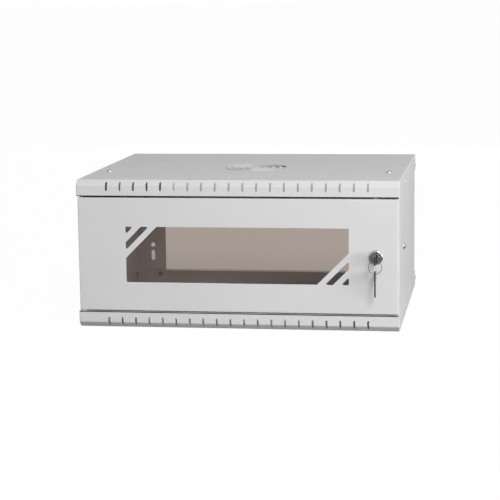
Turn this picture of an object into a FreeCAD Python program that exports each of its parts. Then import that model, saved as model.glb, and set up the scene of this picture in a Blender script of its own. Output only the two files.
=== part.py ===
import FreeCAD, Part
import math
import os
import re

import Sketcher

# Wall mount network cabinet for 19-inch equipment, four units high, with a
# hinged door, a smoked window and a cam lock. Millimetres. +X is to the right,
# the door faces -Y and +Z is up. The origin is the middle of the underside.

document = FreeCAD.newDocument("wall_cabinet")
home_sheet = {}


def new_sheet(name):
    return document.addObject("Spreadsheet::Sheet", name)


def fill_cell(sheet, alias, content, note):
    """Adds one named cell with a note beside it."""
    row = 1 + sum(1 for owner in home_sheet.values() if owner == sheet.Name)
    sheet.set(f"A{row}", note)
    sheet.set(f"B{row}", content)
    sheet.setAlias(f"B{row}", alias)
    home_sheet[alias] = sheet.Name


def formula(text):
    """Turns the named sizes and places in a text into references to their cells."""
    return re.sub(r"[a-z]+(?:_[a-z]+)+", lambda word: f"{home_sheet[word[0]]}.{word[0]}", text)


# Every size that can be set by itself, in millimetres unless it counts something
SIZES = {
    # The whole cabinet
    "cabinet_width": 540,  # outside width
    "cabinet_depth": 450,  # from the door's face to the wall
    "cabinet_height": 250,  # outside height
    # Sheet metal
    "cover_sheet": 1.2,  # sheet of the lid and the base
    "side_sheet": 1.2,  # sheet of the side panels
    "door_sheet": 1.2,  # sheet of the door
    "rail_sheet": 1.5,  # sheet of the mounting rails
    "bend_radius": 1.5,  # outside radius of the folds
    "sheet_fit": 0.1,  # gap between sheets that are screwed together
    # Lid and base trays
    "rim_height": 27.6,  # height of the front band and the side flanges
    "rim_chamfer": 9,  # slope between the front band and the plate
    "front_lip": 16,  # depth of the lip behind the front band
    "rear_rise": 26,  # height of the rear upstand
    "rear_lip": 20,  # depth of the lip on the rear upstand
    "upstand_inset": 22,  # from the cabinet's side to the end of the rear upstand
    # Vent slots across the front folds
    "vent_count": 20,  # slots in a row
    "vent_pitch": 23,  # from one slot to the next
    "vent_width": 3,  # width of a slot
    "vent_on_band": 9.7,  # reach of a slot down the band
    "vent_on_slope": 5.5,  # rise of a slot up the slope
    # Fan grille in the lid
    "grille_behind_front": 207,  # from the front to the grille's middle
    "grille_rings": 4,  # rings of arc slots
    "grille_first_radius": 17,  # middle of the innermost ring
    "grille_ring_pitch": 12.5,  # from ring to ring
    "grille_slot_width": 6.5,  # width of an arc slot
    "grille_spoke": 6,  # web between neighbouring arc slots
    # Side panels
    "door_pocket": 18,  # from the front to the jambs
    "jamb_width": 16,  # front flange of a side panel
    "wall_flange_reach": 58,  # from the cabinet's side to the wall flange's edge
    "wall_hole_inset": 33,  # from the cabinet's side to the wall holes
    "wall_hole_diameter": 8.7,  # round wall holes
    "wall_hole_height": 73,  # from the underside to the lower round holes
    "wall_slot_width": 7,  # slotted wall holes
    "wall_slot_length": 19.6,  # slotted wall holes, end to end
    "wall_slot_height": 52.5,  # from the underside to the middle of the lower slots
    # Mounting rails
    "rack_opening": 450,  # clear width between the rails
    "rack_hole_spacing": 465.1,  # from the left holes to the right holes
    "rack_hole_side": 9.5,  # square holes
    "rack_unit": 44.45,  # one unit of height
    "rack_units": 4,  # units of height
    "rack_end_step": 6.35,  # from a unit's end to its first hole
    "rack_hole_step": 15.875,  # from hole to hole within a unit
    "rail_behind_front": 115,  # from the front to the rails' faces
    "rail_depth": 40,  # depth of a rail's outer leg
    "rail_return": 12,  # depth of a rail's inner leg
    # Door
    "door_depth": 15,  # depth of the door's folded edges
    "door_gap": 2,  # gap above and below the door
    "door_side_inset": 2,  # from the cabinet's side to the door's edge
    "window_inset": 83,  # from the cabinet's side to the window
    "window_height": 94,  # height of the window
    "window_bar_step": 13.25,  # where each edge of the corner bars meets the window's side
    # Window pane
    "glass_thickness": 4,  # pane
    "glass_overlap": 15,  # pane beyond the window opening
    "tape_thickness": 0.8,  # tape between the door and the pane
    "tape_setback": 2,  # from the window opening to the tape
    # Hinge pins
    "pivot_inset": 7.7,  # from the cabinet's side to the pins
    "pin_diameter": 5,  # both pins
    "running_fit": 0.05,  # play around a turning or sliding shaft, on the radius
    "pin_past_lip": 3,  # pins beyond the lips that hold them
    "pin_head_diameter": 8,  # head of the lower pin
    "pin_head_height": 1.5,  # head of the lower pin
    "washer_diameter": 9.4,  # washer under the door
    "rest_gap": 0.3,  # gap between parts that move past each other
    "bracket_drop": 30,  # from the door's top to the bracket's plate
    "bracket_sheet": 1.5,  # sheet of the bracket
    "bracket_tab": 12,  # height of the tab on the door
    "bracket_width": 16,  # width of the bracket
    "bracket_setback": 0.6,  # from the door's left fold to the bracket
    "bracket_end_gap": 1.5,  # from the door's back to the bracket's edge
    "handle_length": 20,  # finger bar of the upper pin, from the hinge axis
    "collar_diameter": 8,  # collar on the upper pin
    "collar_height": 2,  # collar on the upper pin
    "spring_wire": 0.8,  # wire of the spring
    "spring_radius": 3.5,  # middle of the spring's wire
    "spring_turns": 4,  # turns of the spring
    "spring_length": 14,  # length of the spring under the door's top
    # Lock
    "lock_inset": 38.5,  # from the cabinet's right side to the lock
    "lock_height": 125,  # from the underside to the lock
    "lock_face_diameter": 23.6,  # round face
    "lock_face_thickness": 3,  # round face
    "lock_barrel_diameter": 18.8,  # threaded barrel
    "lock_barrel_flats": 16,  # across the barrel's flats
    "lock_hole_fit": 0.15,  # gap around the barrel in the door
    "lock_nut_width": 22,  # across the nut's flats
    "lock_nut_thickness": 4,  # nut behind the door
    "plug_diameter": 12,  # turning plug
    "keyway_fit": 0.2,  # play around the key's blade
    "cam_thickness": 2,  # cam
    "cam_width": 12,  # cam
    "cam_reach": 32,  # from the lock's axis to the cam's tip
    "cam_tail": 7,  # from the lock's axis to the cam's other end
    "cam_square": 6,  # square that drives the cam
    "cam_screw_head": 7.5,  # head of the cam's screw
    "cam_screw_head_height": 2,  # head of the cam's screw
    # Keys and ring
    "key_thickness": 2.2,  # both keys
    "key_length": 43,  # both keys
    "key_in_plug": 20,  # blade inside the plug
    "bow_width": 22,  # head of a key
    "bow_length": 17,  # head of a key
    "bow_corner": 6,  # corners of a key's head
    "blade_width": 8,  # blade of a key
    "blade_cut": 1.8,  # depth of the cuts in the blade
    "blade_cut_pitch": 4,  # from cut to cut
    "blade_tip": 2.5,  # slope at the blade's tip
    "key_hole": 8,  # hole in a key's head
    "key_hole_margin": 3,  # from the hole to the end of the head
    "ring_radius": 11,  # middle of the ring's wire
    "ring_wire": 1.8,  # both coils of the split ring together
    # Door buffer
    "buffer_width": 6,  # rubber pad above the lock
    "buffer_depth": 5,  # rubber pad above the lock
    "buffer_behind_front": 2,  # from the front to the pad
    # Screws and nuts
    "thread_fit": 0.05,  # play in a thread or a press fit, on the radius
    "large_head": 11,  # heads of the rail and side screws
    "large_head_height": 3.6,  # their heads
    "large_nut_width": 10,  # across their nuts' flats
    "large_nut_thickness": 5,  # their nuts
    "small_head": 7.5,  # heads of the flange screws
    "small_head_height": 2.4,  # their heads
    "small_nut_width": 7,  # across their nuts' flats
    "small_nut_thickness": 3.2,  # their nuts
    "corner_head": 9,  # heads of the rear corner screws
    "corner_head_height": 3,  # their heads
    "head_sides": 12,  # flat sides of a screw's head
    "nut_sides": 6,  # flat sides of a nut
    "rail_screw_inset": 26.7,  # from the cabinet's side to the rail screws
    "rail_screw_behind_front": 132,  # from the front to the rail screws
    "side_screw_behind_front": 126,  # from the front to the side screws
    "side_screw_height": 125,  # from the underside to the side screws
    "flange_screw_height": 18,  # from the cover's outside to its flange screws
    "front_flange_screw": 147,  # from the front to the front flange screws
    "rear_flange_screw": 434,  # from the front to the rear flange screws
    "corner_screw_inset": 46.5,  # from the cabinet's side to the rear corner screws
    "corner_screw_height": 16,  # from the cover's outside to the rear corner screws
}

sizes = new_sheet("Sizes")
for alias, number in SIZES.items():
    fill_cell(sizes, alias, str(number), alias.replace("_", " "))

document.recompute()
places = new_sheet("Places")


def place(alias, text, note):
    fill_cell(places, alias, "=" + formula(text), note)


# Planes and axes that several pieces share, worked out from the sizes
place("half_width", "cabinet_width / 2", "cabinet's right side")
place("front_face", "-cabinet_depth / 2", "door's face")
place("rear_face", "cabinet_depth / 2", "wall")
place("fold_gain", "cover_sheet * (sqrt(2) - 1)", "how far a 45 degree fold moves its inner corner")
place("side_outer", "half_width - cover_sheet - sheet_fit", "outside of the side panels")
place("side_inner", "side_outer - side_sheet", "inside of the side panels")
place("jamb_front", "front_face + door_pocket", "front of the jambs")
place("jamb_back", "jamb_front + side_sheet", "back of the jambs")
place("upstand_back", "rear_face - side_sheet - sheet_fit", "back of the rear upstands")
place("upstand_front", "upstand_back - cover_sheet", "front of the rear upstands")
place("rail_front", "front_face + rail_behind_front", "face of the rails")
place("rail_inner", "rack_opening / 2", "inner edge of the rails")
place("door_back", "front_face + door_depth", "back edges of the door")
place("door_inside", "front_face + door_sheet", "back of the door's sheet")
place("door_low", "rim_height + door_gap", "underside of the door")
place("door_high", "cabinet_height - rim_height - door_gap", "top of the door")
place("door_side", "half_width - door_side_inset", "right edge of the door")
place("window_side", "half_width - window_inset", "right edge of the window")
place("window_middle", "cabinet_height / 2", "height of the window's middle")
place("pane_front", "door_inside + tape_thickness", "front of the pane")
place("pivot_across", "pivot_inset - half_width", "hinge axis, left to right")
place("pivot_behind", "front_face + door_depth / 2", "hinge axis, front to back")
place("pin_radius", "pin_diameter / 2", "both pins")
place("lip_low", "rim_height - cover_sheet", "underside of the base's lip")
place("lip_high", "cabinet_height - lip_low", "top of the lid's lip")
place("bracket_base", "door_high - bracket_drop", "underside of the bracket's plate")
place("bracket_seat", "bracket_base + bracket_sheet", "top of the bracket's plate")
place("lock_across", "half_width - lock_inset", "lock's axis")
place("lock_front", "front_face - lock_face_thickness", "front of the lock")
place("cam_front", "jamb_back + rest_gap", "front of the cam, just behind the jamb")
place("cam_back", "cam_front + cam_thickness", "back of the cam")
place("barrel_back", "cam_front - rest_gap", "back of the lock's barrel")
place("hole_behind_bow", "key_hole / 2 + key_hole_margin", "from a key's end to its hole's middle")
place("key_hole_front", "lock_front + key_in_plug - key_length + hole_behind_bow", "hole of the key in the lock")
place("ring_reach", "ring_wire / sqrt(3)", "from the middle of the ring's wire to its edges")
place("ring_top", "lock_height - key_hole / 2 + ring_reach + rest_gap", "ring's wire in the key in the lock")
place("ring_middle", "ring_top - ring_radius", "middle of the ring")
place("spare_hole", "ring_middle - ring_radius + ring_reach + rest_gap - key_hole / 2", "hole of the spare key")
place("rail_screw_across", "half_width - rail_screw_inset", "right rail screws")
place("tab_inside", "cover_sheet + rail_sheet", "inner face of the rails' tabs above the base's underside")
place("rail_screw_behind", "front_face + rail_screw_behind_front", "rail screws")
place("side_screw_behind", "front_face + side_screw_behind_front", "side screws")
place("front_flange_behind", "front_face + front_flange_screw", "front flange screws")
place("rear_flange_behind", "front_face + rear_flange_screw", "rear flange screws")
place("corner_screw_across", "half_width - corner_screw_inset", "right corner screws")

document.recompute()

LEFT = -1
RIGHT = 1


def amount(text):
    """The number that a formula gives now."""
    return float(sizes.evalExpression(formula(text)))


def bind(thing, **formulas):
    """Ties properties of an object to formulas."""
    for name, text in formulas.items():
        thing.setExpression(name, formula(text))
    return thing


def put(thing, x="0", y="0", z="0", turn=None):
    """Places an object by three formulas, after a turn."""
    if turn is not None:
        thing.Placement = FreeCAD.Placement(FreeCAD.Vector(), turn)
    for axis, text in zip("xyz", (x, y, z)):
        thing.setExpression(f"Placement.Base.{axis}", formula(text))
    return thing


def turned(axis, degrees):
    return FreeCAD.Rotation(FreeCAD.Vector(*axis), degrees)


X_AXIS = (1, 0, 0)
Y_AXIS = (0, 1, 0)
Z_AXIS = (0, 0, 1)
TOWARDS_BACK = turned(X_AXIS, -90)
TOWARDS_FRONT = turned(X_AXIS, 90)
TOWARDS_RIGHT = turned(Y_AXIS, 90)
TOWARDS_LEFT = turned(Y_AXIS, -90)
DOWNWARDS = turned(X_AXIS, 180)


# Sketches. A sketch in the XZ plane looks along +Y, so its offset counts towards -Y.


def new_body(label):
    body = document.addObject("PartDesign::Body", label)
    body.Label = label
    document.recompute()
    return body


def new_sketch(body, role, name, level="0"):
    """A sketch parallel to one of the body's own planes, at a level along its normal."""
    plane = next(item for item in body.Origin.OriginFeatures if item.Role == role)
    sketch = body.newObject("Sketcher::SketchObject", name)
    sketch.AttachmentSupport = (plane, [""])
    sketch.MapMode = "FlatFace"
    sketch.setExpression("AttachmentOffset.Base.z", formula(level))
    return sketch


def front_sketch(body, name, behind):
    return new_sketch(body, "XZ_Plane", name, f"-({behind})")


def hold(sketch, kind, *items, text):
    """Adds one driving constraint that follows a formula."""
    number = sketch.addConstraint(Sketcher.Constraint(kind, *items, amount(text)))
    sketch.setExpression(f"Constraints[{number}]", formula(text))


def hold_point(sketch, line, end, across, up):
    hold(sketch, "DistanceX", -1, 1, line, end, text=across)
    hold(sketch, "DistanceY", -1, 1, line, end, text=up)


def draw_outline(sketch, corners, closed=True):
    """Straight lines through corners, each a pair of formulas, and back to the first if closed."""
    first = sketch.GeometryCount
    path = corners + corners[:1] if closed else corners
    spots = [FreeCAD.Vector(amount(across), amount(up), 0) for across, up in path]
    for here, there in zip(spots, spots[1:]):
        sketch.addGeometry(Part.LineSegment(here, there), False)
    last = sketch.GeometryCount - 1
    for line in range(first, last + 1):
        hold_point(sketch, line, 1, *corners[line - first])
    for line in range(first, last):
        sketch.addConstraint(Sketcher.Constraint("Coincident", line, 2, line + 1, 1))
    if closed:
        sketch.addConstraint(Sketcher.Constraint("Coincident", last, 2, first, 1))
    else:
        hold_point(sketch, last, 2, *corners[-1])


def draw_rectangle(sketch, left, low, right, high):
    draw_outline(sketch, [(left, low), (right, low), (right, high), (left, high)])


def draw_circle(sketch, across, up, radius):
    centre = FreeCAD.Vector(amount(across), amount(up), 0)
    circle = sketch.addGeometry(Part.Circle(centre, FreeCAD.Vector(*Z_AXIS), amount(radius)), False)
    hold_point(sketch, circle, 3, across, up)
    hold(sketch, "Radius", circle, text=radius)


def add_arc(sketch, centre, radius, start, end):
    circle = Part.Circle(centre, FreeCAD.Vector(*Z_AXIS), radius)
    return sketch.addGeometry(Part.ArcOfCircle(circle, start, end), False)


def draw_upright_slot(sketch, across, low, high, radius):
    """A slot with round ends, given the middles of its two ends."""
    x, y_low, y_high, r = (amount(text) for text in (across, low, high, radius))
    top = add_arc(sketch, FreeCAD.Vector(x, y_high, 0), r, 0, math.pi)
    left = sketch.addGeometry(
        Part.LineSegment(FreeCAD.Vector(x - r, y_high, 0), FreeCAD.Vector(x - r, y_low, 0)), False
    )
    bottom = add_arc(sketch, FreeCAD.Vector(x, y_low, 0), r, math.pi, 2 * math.pi)
    right = sketch.addGeometry(
        Part.LineSegment(FreeCAD.Vector(x + r, y_low, 0), FreeCAD.Vector(x + r, y_high, 0)), False
    )
    for one, other in ((top, left), (left, bottom), (bottom, right), (right, top)):
        sketch.addConstraint(Sketcher.Constraint("Tangent", one, 2, other, 1))
    sketch.addConstraint(Sketcher.Constraint("Equal", top, bottom))
    hold_point(sketch, top, 3, across, high)
    hold_point(sketch, bottom, 3, across, low)
    hold(sketch, "Radius", top, text=radius)


def draw_arc_slot(sketch, radius, width, web):
    """A slot along a quarter ring that leaves half a web free at each end."""
    outer_radius = f"({radius} + {width} / 2)"
    inner_radius = f"({radius} - {width} / 2)"
    free = amount(f"{web} / 2")
    arcs = []
    for reach in (amount(outer_radius), amount(inner_radius)):
        start = math.asin(free / reach)
        arcs.append(add_arc(sketch, FreeCAD.Vector(), reach, start, math.pi / 2 - start))
        sketch.addConstraint(Sketcher.Constraint("Coincident", arcs[-1], 3, -1, 1))
    outer, inner = arcs
    hold(sketch, "Radius", outer, text=outer_radius)
    hold(sketch, "Radius", inner, text=inner_radius)
    for end, kind, distance in ((1, "Horizontal", "DistanceY"), (2, "Vertical", "DistanceX")):
        spots = [sketch.getPoint(arc, end) for arc in arcs]
        line = sketch.addGeometry(Part.LineSegment(*spots), False)
        sketch.addConstraint(Sketcher.Constraint("Coincident", outer, end, line, 1))
        sketch.addConstraint(Sketcher.Constraint("Coincident", inner, end, line, 2))
        sketch.addConstraint(Sketcher.Constraint(kind, line))
        hold(sketch, distance, -1, 1, line, 1, text=f"{web} / 2")


def draw_flatted_circle(sketch, across, up, radius, half_flats):
    """A circle with two upright flats."""
    x, y, r, flat = (amount(text) for text in (across, up, radius, half_flats))
    middle = FreeCAD.Vector(x, y, 0)
    angle = math.acos(flat / r)
    rise = r * math.sin(angle)
    top = add_arc(sketch, middle, r, angle, math.pi - angle)
    left = sketch.addGeometry(
        Part.LineSegment(FreeCAD.Vector(x - flat, y + rise, 0), FreeCAD.Vector(x - flat, y - rise, 0)), False
    )
    bottom = add_arc(sketch, middle, r, math.pi + angle, 2 * math.pi - angle)
    right = sketch.addGeometry(
        Part.LineSegment(FreeCAD.Vector(x + flat, y - rise, 0), FreeCAD.Vector(x + flat, y + rise, 0)), False
    )
    for one, other in ((top, left), (left, bottom), (bottom, right), (right, top)):
        sketch.addConstraint(Sketcher.Constraint("Coincident", one, 2, other, 1))
    sketch.addConstraint(Sketcher.Constraint("Coincident", top, 3, bottom, 3))
    for line in (left, right):
        sketch.addConstraint(Sketcher.Constraint("Vertical", line))
    hold_point(sketch, top, 3, across, up)
    hold(sketch, "Radius", top, text=radius)
    hold(sketch, "DistanceX", left, 1, right, 2, text=f"2 * ({half_flats})")


# Features


def pad(body, sketch, length, name, middle=False, backwards=False):
    feature = body.newObject("PartDesign::Pad", name)
    feature.Profile = sketch
    feature.setExpression("Length", formula(length))
    if middle:
        feature.Midplane = True
    feature.Reversed = backwards
    body.Tip = feature
    document.recompute()
    return feature


def pocket(body, sketch, name, length=None, backwards=False):
    """Cuts a sketch's outline out of the body, right through it where no length is given."""
    before = body.Shape.Volume
    feature = body.newObject("PartDesign::Pocket", name)
    feature.Profile = sketch
    if length is None:
        feature.Type = "ThroughAll"
        feature.Midplane = True
    else:
        feature.setExpression("Length", formula(length))
        feature.Reversed = backwards
    body.Tip = feature
    document.recompute()
    if not body.Shape.Volume < before:
        raise RuntimeError(f"{body.Label}: {name} cuts nothing")
    return feature


def dress_edges(body, kind, name, chosen, **formulas):
    """Fillets or chamfers the edges of the body that a test picks."""
    base = body.Tip
    names = [f"Edge{number}" for number, edge in enumerate(base.Shape.Edges, 1) if chosen(edge)]
    feature = body.newObject(f"PartDesign::{kind}", name)
    feature.Base = (base, names)
    bind(feature, **formulas)
    body.Tip = feature
    document.recompute()


def fillet(body, name, radius, chosen):
    dress_edges(body, "Fillet", name, chosen, Radius=radius)


def same(one, other):
    """Whether two lengths agree to a thousandth of a millimetre."""
    return round(one - other, 3) == 0


def runs_along(edge, axis):
    """Whether an edge is a straight line along one axis."""
    if len(edge.Vertexes) != 2:
        return False
    span = edge.Vertexes[1].Point - edge.Vertexes[0].Point
    return same(abs(span.dot(FreeCAD.Vector(*axis))), edge.Length)


def lies_at(edge, **spots):
    """Whether all of an edge lies at the given coordinates."""
    box = edge.BoundBox
    ends = {"x": (box.XMin, box.XMax), "y": (box.YMin, box.YMax), "z": (box.ZMin, box.ZMax)}
    return all(same(end, spot) for axis, spot in spots.items() for end in ends[axis])


# Lid and base: one folded tray each, with vent slots across its front folds


def cover_tray(label, level):
    """A tray, where level turns a height above its outer face into a place along Z."""
    body = new_body(label)
    front = new_sketch(body, "YZ_Plane", f"{label}_profile")
    draw_outline(front, [
        ("front_face + front_lip", level("rim_height")),
        ("front_face", level("rim_height")),
        ("front_face", level("rim_chamfer")),
        ("front_face + rim_chamfer", level("0")),
        ("upstand_back", level("0")),
        ("upstand_back", level("cover_sheet")),
        ("front_face + rim_chamfer + fold_gain", level("cover_sheet")),
        ("front_face + cover_sheet", level("rim_chamfer + fold_gain")),
        ("front_face + cover_sheet", level("rim_height - cover_sheet")),
        ("front_face + front_lip", level("rim_height - cover_sheet")),
    ])
    pad(body, front, "cabinet_width", f"{label}_plate", middle=True)
    for side, start in (("left", "-half_width"), ("right", "half_width - cover_sheet")):
        flange = new_sketch(body, "YZ_Plane", f"{label}_{side}_outline", start)
        draw_outline(flange, [
            ("front_face", level("rim_height")),
            ("front_face", level("rim_chamfer")),
            ("front_face + rim_chamfer", level("0")),
            ("rear_face", level("0")),
            ("rear_face", level("rim_height")),
        ])
        pad(body, flange, "cover_sheet", f"{label}_{side}_flange")
    rear = new_sketch(body, "YZ_Plane", f"{label}_rear_profile")
    draw_outline(rear, [
        ("upstand_back", level("0")),
        ("upstand_back", level("rear_rise")),
        ("upstand_back - rear_lip", level("rear_rise")),
        ("upstand_back - rear_lip", level("rear_rise - cover_sheet")),
        ("upstand_front", level("rear_rise - cover_sheet")),
        ("upstand_front", level("0")),
    ])
    pad(body, rear, "cabinet_width - 2 * upstand_inset", f"{label}_upstand", middle=True)

    side = amount("half_width")
    front_place = amount("front_face")
    fold_lines = [
        {"y": front_place, "z": amount(level("rim_height"))},
        {"y": amount("upstand_back"), "z": amount(level("rear_rise"))},
    ]

    def is_fold(edge):
        if runs_along(edge, X_AXIS):
            return any(lies_at(edge, **line) for line in fold_lines)
        return any(
            lies_at(edge, x=place)
            and (lies_at(edge, z=amount(level("0"))) or lies_at(edge, y=front_place) or is_slope(edge))
            for place in (side, -side)
        )

    def is_slope(edge):
        return not runs_along(edge, Y_AXIS) and not runs_along(edge, Z_AXIS)

    fillet(body, f"{label}_folds", "bend_radius", is_fold)

    row = front_sketch(body, f"{label}_vent", "front_face")
    draw_rectangle(
        row,
        "-(vent_count - 1) * vent_pitch / 2 - vent_width / 2",
        level("rim_chamfer - vent_on_slope"),
        "-(vent_count - 1) * vent_pitch / 2 + vent_width / 2",
        level("rim_chamfer + vent_on_band"),
    )
    vent = pocket(body, row, f"{label}_vent_slot", "rim_chamfer + cover_sheet")
    pattern = body.newObject("PartDesign::LinearPattern", f"{label}_vents")
    pattern.Originals = [vent]
    pattern.Direction = (row, ["H_Axis"])
    bind(pattern, Length="(vent_count - 1) * vent_pitch", Occurrences="vent_count")
    body.Tip = pattern
    document.recompute()

    pivot = new_sketch(body, "XY_Plane", f"{label}_pivot_place", level("rim_height"))
    draw_circle(pivot, "pivot_across", "pivot_behind", "pin_radius + running_fit")
    towards_plate = label == "bottom_tray"
    pocket(body, pivot, f"{label}_pivot_hole", "2 * cover_sheet", backwards=not towards_plate)
    return body


def above_base(height):
    return f"{height}"


def below_lid(height):
    return f"cabinet_height - ({height})"


bottom_tray = cover_tray("bottom_tray", above_base)
top_cover = cover_tray("top_cover", below_lid)

grille = new_sketch(top_cover, "XY_Plane", "grille_quarter", "cabinet_height")
grille.setExpression("AttachmentOffset.Base.y", formula("front_face + grille_behind_front"))
for ring in range(int(amount("grille_rings"))):
    draw_arc_slot(grille, f"(grille_first_radius + {ring} * grille_ring_pitch)", "grille_slot_width", "grille_spoke")
grille_cut = pocket(top_cover, grille, "grille_quarter_slots", "2 * cover_sheet")
grille_pattern = top_cover.newObject("PartDesign::PolarPattern", "grille_slots")
grille_pattern.Originals = [grille_cut]
grille_pattern.Axis = (grille, ["N_Axis"])
grille_pattern.Angle = 360
grille_pattern.Occurrences = 4
top_cover.Tip = grille_pattern


# Side panels: folded to a jamb at the front and a wall flange at the back


def side_panel(label, hand):
    body = new_body(label)
    plan = new_sketch(body, "XY_Plane", f"{label}_plan", "cover_sheet")
    draw_outline(plan, [
        (f"{hand} * side_outer", "jamb_front"),
        (f"{hand} * side_outer", "rear_face"),
        (f"{hand} * (half_width - wall_flange_reach)", "rear_face"),
        (f"{hand} * (half_width - wall_flange_reach)", "rear_face - side_sheet"),
        (f"{hand} * side_inner", "rear_face - side_sheet"),
        (f"{hand} * side_inner", "jamb_back"),
        (f"{hand} * (side_outer - jamb_width)", "jamb_back"),
        (f"{hand} * (side_outer - jamb_width)", "jamb_front"),
    ])
    pad(body, plan, "cabinet_height - 2 * cover_sheet", f"{label}_sheet")
    outside = amount(f"{hand} * side_outer")
    folds = (amount("jamb_front"), amount("rear_face"))

    def is_fold(edge):
        return runs_along(edge, Z_AXIS) and any(lies_at(edge, x=outside, y=fold) for fold in folds)

    fillet(body, f"{label}_folds", "bend_radius", is_fold)

    wall = front_sketch(body, f"{label}_wall_places", "rear_face - 2 * side_sheet")
    across = f"{hand} * (half_width - wall_hole_inset)"
    reach = "(wall_slot_length - wall_slot_width) / 2"
    for level in (above_base, below_lid):
        draw_circle(wall, across, level("wall_hole_height"), "wall_hole_diameter / 2")
        ends = (level(f"wall_slot_height - {reach}"), level(f"wall_slot_height + {reach}"))
        draw_upright_slot(wall, across, *sorted(ends, key=amount), "wall_slot_width / 2")
    pocket(body, wall, f"{label}_wall_holes", "3 * side_sheet")

    return body


left_side_panel = side_panel("left_side_panel", LEFT)
right_side_panel = side_panel("right_side_panel", RIGHT)


# Mounting rails: three-sided sheet with a tab at each end and square holes


def mounting_rail(label, hand):
    body = new_body(label)
    plan = new_sketch(body, "XY_Plane", f"{label}_plan", "cover_sheet")
    draw_outline(plan, [
        (f"{hand} * side_inner", "rail_front"),
        (f"{hand} * side_inner", "rail_front + rail_depth"),
        (f"{hand} * (side_inner - rail_sheet)", "rail_front + rail_depth"),
        (f"{hand} * (side_inner - rail_sheet)", "rail_front + rail_sheet"),
        (f"{hand} * (rail_inner + rail_sheet)", "rail_front + rail_sheet"),
        (f"{hand} * (rail_inner + rail_sheet)", "rail_front + rail_return"),
        (f"{hand} * rail_inner", "rail_front + rail_return"),
        (f"{hand} * rail_inner", "rail_front"),
    ])
    pad(body, plan, "cabinet_height - 2 * cover_sheet", f"{label}_sheet")
    for end, start in (("lower", "cover_sheet"), ("upper", "cabinet_height - cover_sheet - rail_sheet")):
        tab = new_sketch(body, "XY_Plane", f"{label}_{end}_tab_outline", start)
        draw_rectangle(
            tab,
            f"{hand} * (rail_inner + rail_sheet)",
            "rail_front + rail_sheet",
            f"{hand} * (side_inner - rail_sheet)",
            "rail_front + rail_depth",
        )
        pad(body, tab, "rail_sheet", f"{label}_{end}_tab")
    edges = (amount(f"{hand} * side_inner"), amount(f"{hand} * rail_inner"))
    face = amount("rail_front")

    def is_fold(edge):
        return runs_along(edge, Z_AXIS) and any(lies_at(edge, x=place, y=face) for place in edges)

    fillet(body, f"{label}_folds", "bend_radius", is_fold)

    unit = front_sketch(body, f"{label}_unit", "rail_front")
    middle = f"{hand} * rack_hole_spacing / 2"
    for step in range(3):
        height = f"((cabinet_height - rack_units * rack_unit) / 2 + rack_end_step + {step} * rack_hole_step)"
        draw_rectangle(
            unit,
            f"{middle} - rack_hole_side / 2",
            f"{height} - rack_hole_side / 2",
            f"{middle} + rack_hole_side / 2",
            f"{height} + rack_hole_side / 2",
        )
    holes = pocket(body, unit, f"{label}_unit_holes", "2 * rail_sheet")
    pattern = body.newObject("PartDesign::LinearPattern", f"{label}_square_holes")
    pattern.Originals = [holes]
    pattern.Direction = (unit, ["V_Axis"])
    bind(pattern, Length="(rack_units - 1) * rack_unit", Occurrences="rack_units")
    body.Tip = pattern
    document.recompute()

    return body


left_mounting_rail = mounting_rail("left_mounting_rail", LEFT)
right_mounting_rail = mounting_rail("right_mounting_rail", RIGHT)


# Door: folded steel tray with a window, its corner bars, and holes for pins and lock

door_panel = new_body("door_panel")
door_outline = front_sketch(door_panel, "door_outline", "front_face")
draw_rectangle(door_outline, "-door_side", "door_low", "door_side", "door_high")
pad(door_panel, door_outline, "door_depth", "door_block", backwards=True)
door_hollow = front_sketch(door_panel, "door_hollow_outline", "door_inside")
draw_rectangle(
    door_hollow,
    "door_sheet - door_side",
    "door_low + door_sheet",
    "door_side - door_sheet",
    "door_high - door_sheet",
)
pocket(door_panel, door_hollow, "door_hollow", "door_depth")


fillet(door_panel, "door_folds", "bend_radius", lambda edge: lies_at(edge, y=amount("front_face")))

window = front_sketch(door_panel, "window_outline", "front_face")
LEFT_EDGE = "-window_side"
RIGHT_EDGE = "window_side"
LOW_EDGE = "window_middle - window_height / 2"
HIGH_EDGE = "window_middle + window_height / 2"


def step(count):
    return f"{count} * window_bar_step"


draw_outline(window, [
    (LEFT_EDGE, LOW_EDGE),
    (f"{RIGHT_EDGE} - {step(4)}", LOW_EDGE),
    (RIGHT_EDGE, f"{LOW_EDGE} + {step(4)}"),
    (RIGHT_EDGE, HIGH_EDGE),
    (f"{LEFT_EDGE} + {step(4)}", HIGH_EDGE),
    (LEFT_EDGE, f"{HIGH_EDGE} - {step(4)}"),
])
for across, up, inward, upward in ((LEFT_EDGE, HIGH_EDGE, "+", "-"), (RIGHT_EDGE, LOW_EDGE, "-", "+")):
    draw_outline(window, [
        (across, up),
        (f"{across} {inward} {step(1)}", up),
        (across, f"{up} {upward} {step(1)}"),
    ])
    draw_outline(window, [
        (f"{across} {inward} {step(2)}", up),
        (f"{across} {inward} {step(3)}", up),
        (across, f"{up} {upward} {step(3)}"),
        (across, f"{up} {upward} {step(2)}"),
    ])
pocket(door_panel, window, "window_openings", "door_depth")


pivot_places = new_sketch(door_panel, "XY_Plane", "door_pivot_place", "window_middle")
draw_circle(pivot_places, "pivot_across", "pivot_behind", "pin_radius + running_fit")
pocket(door_panel, pivot_places, "door_pivot_holes")

lock_place = front_sketch(door_panel, "lock_hole_outline", "front_face")
draw_flatted_circle(
    lock_place,
    "lock_across",
    "lock_height",
    "lock_barrel_diameter / 2 + lock_hole_fit",
    "lock_barrel_flats / 2 + lock_hole_fit",
)
pocket(door_panel, lock_place, "lock_hole", "2 * door_sheet")


# Window pane and the tape that holds it to the door

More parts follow.
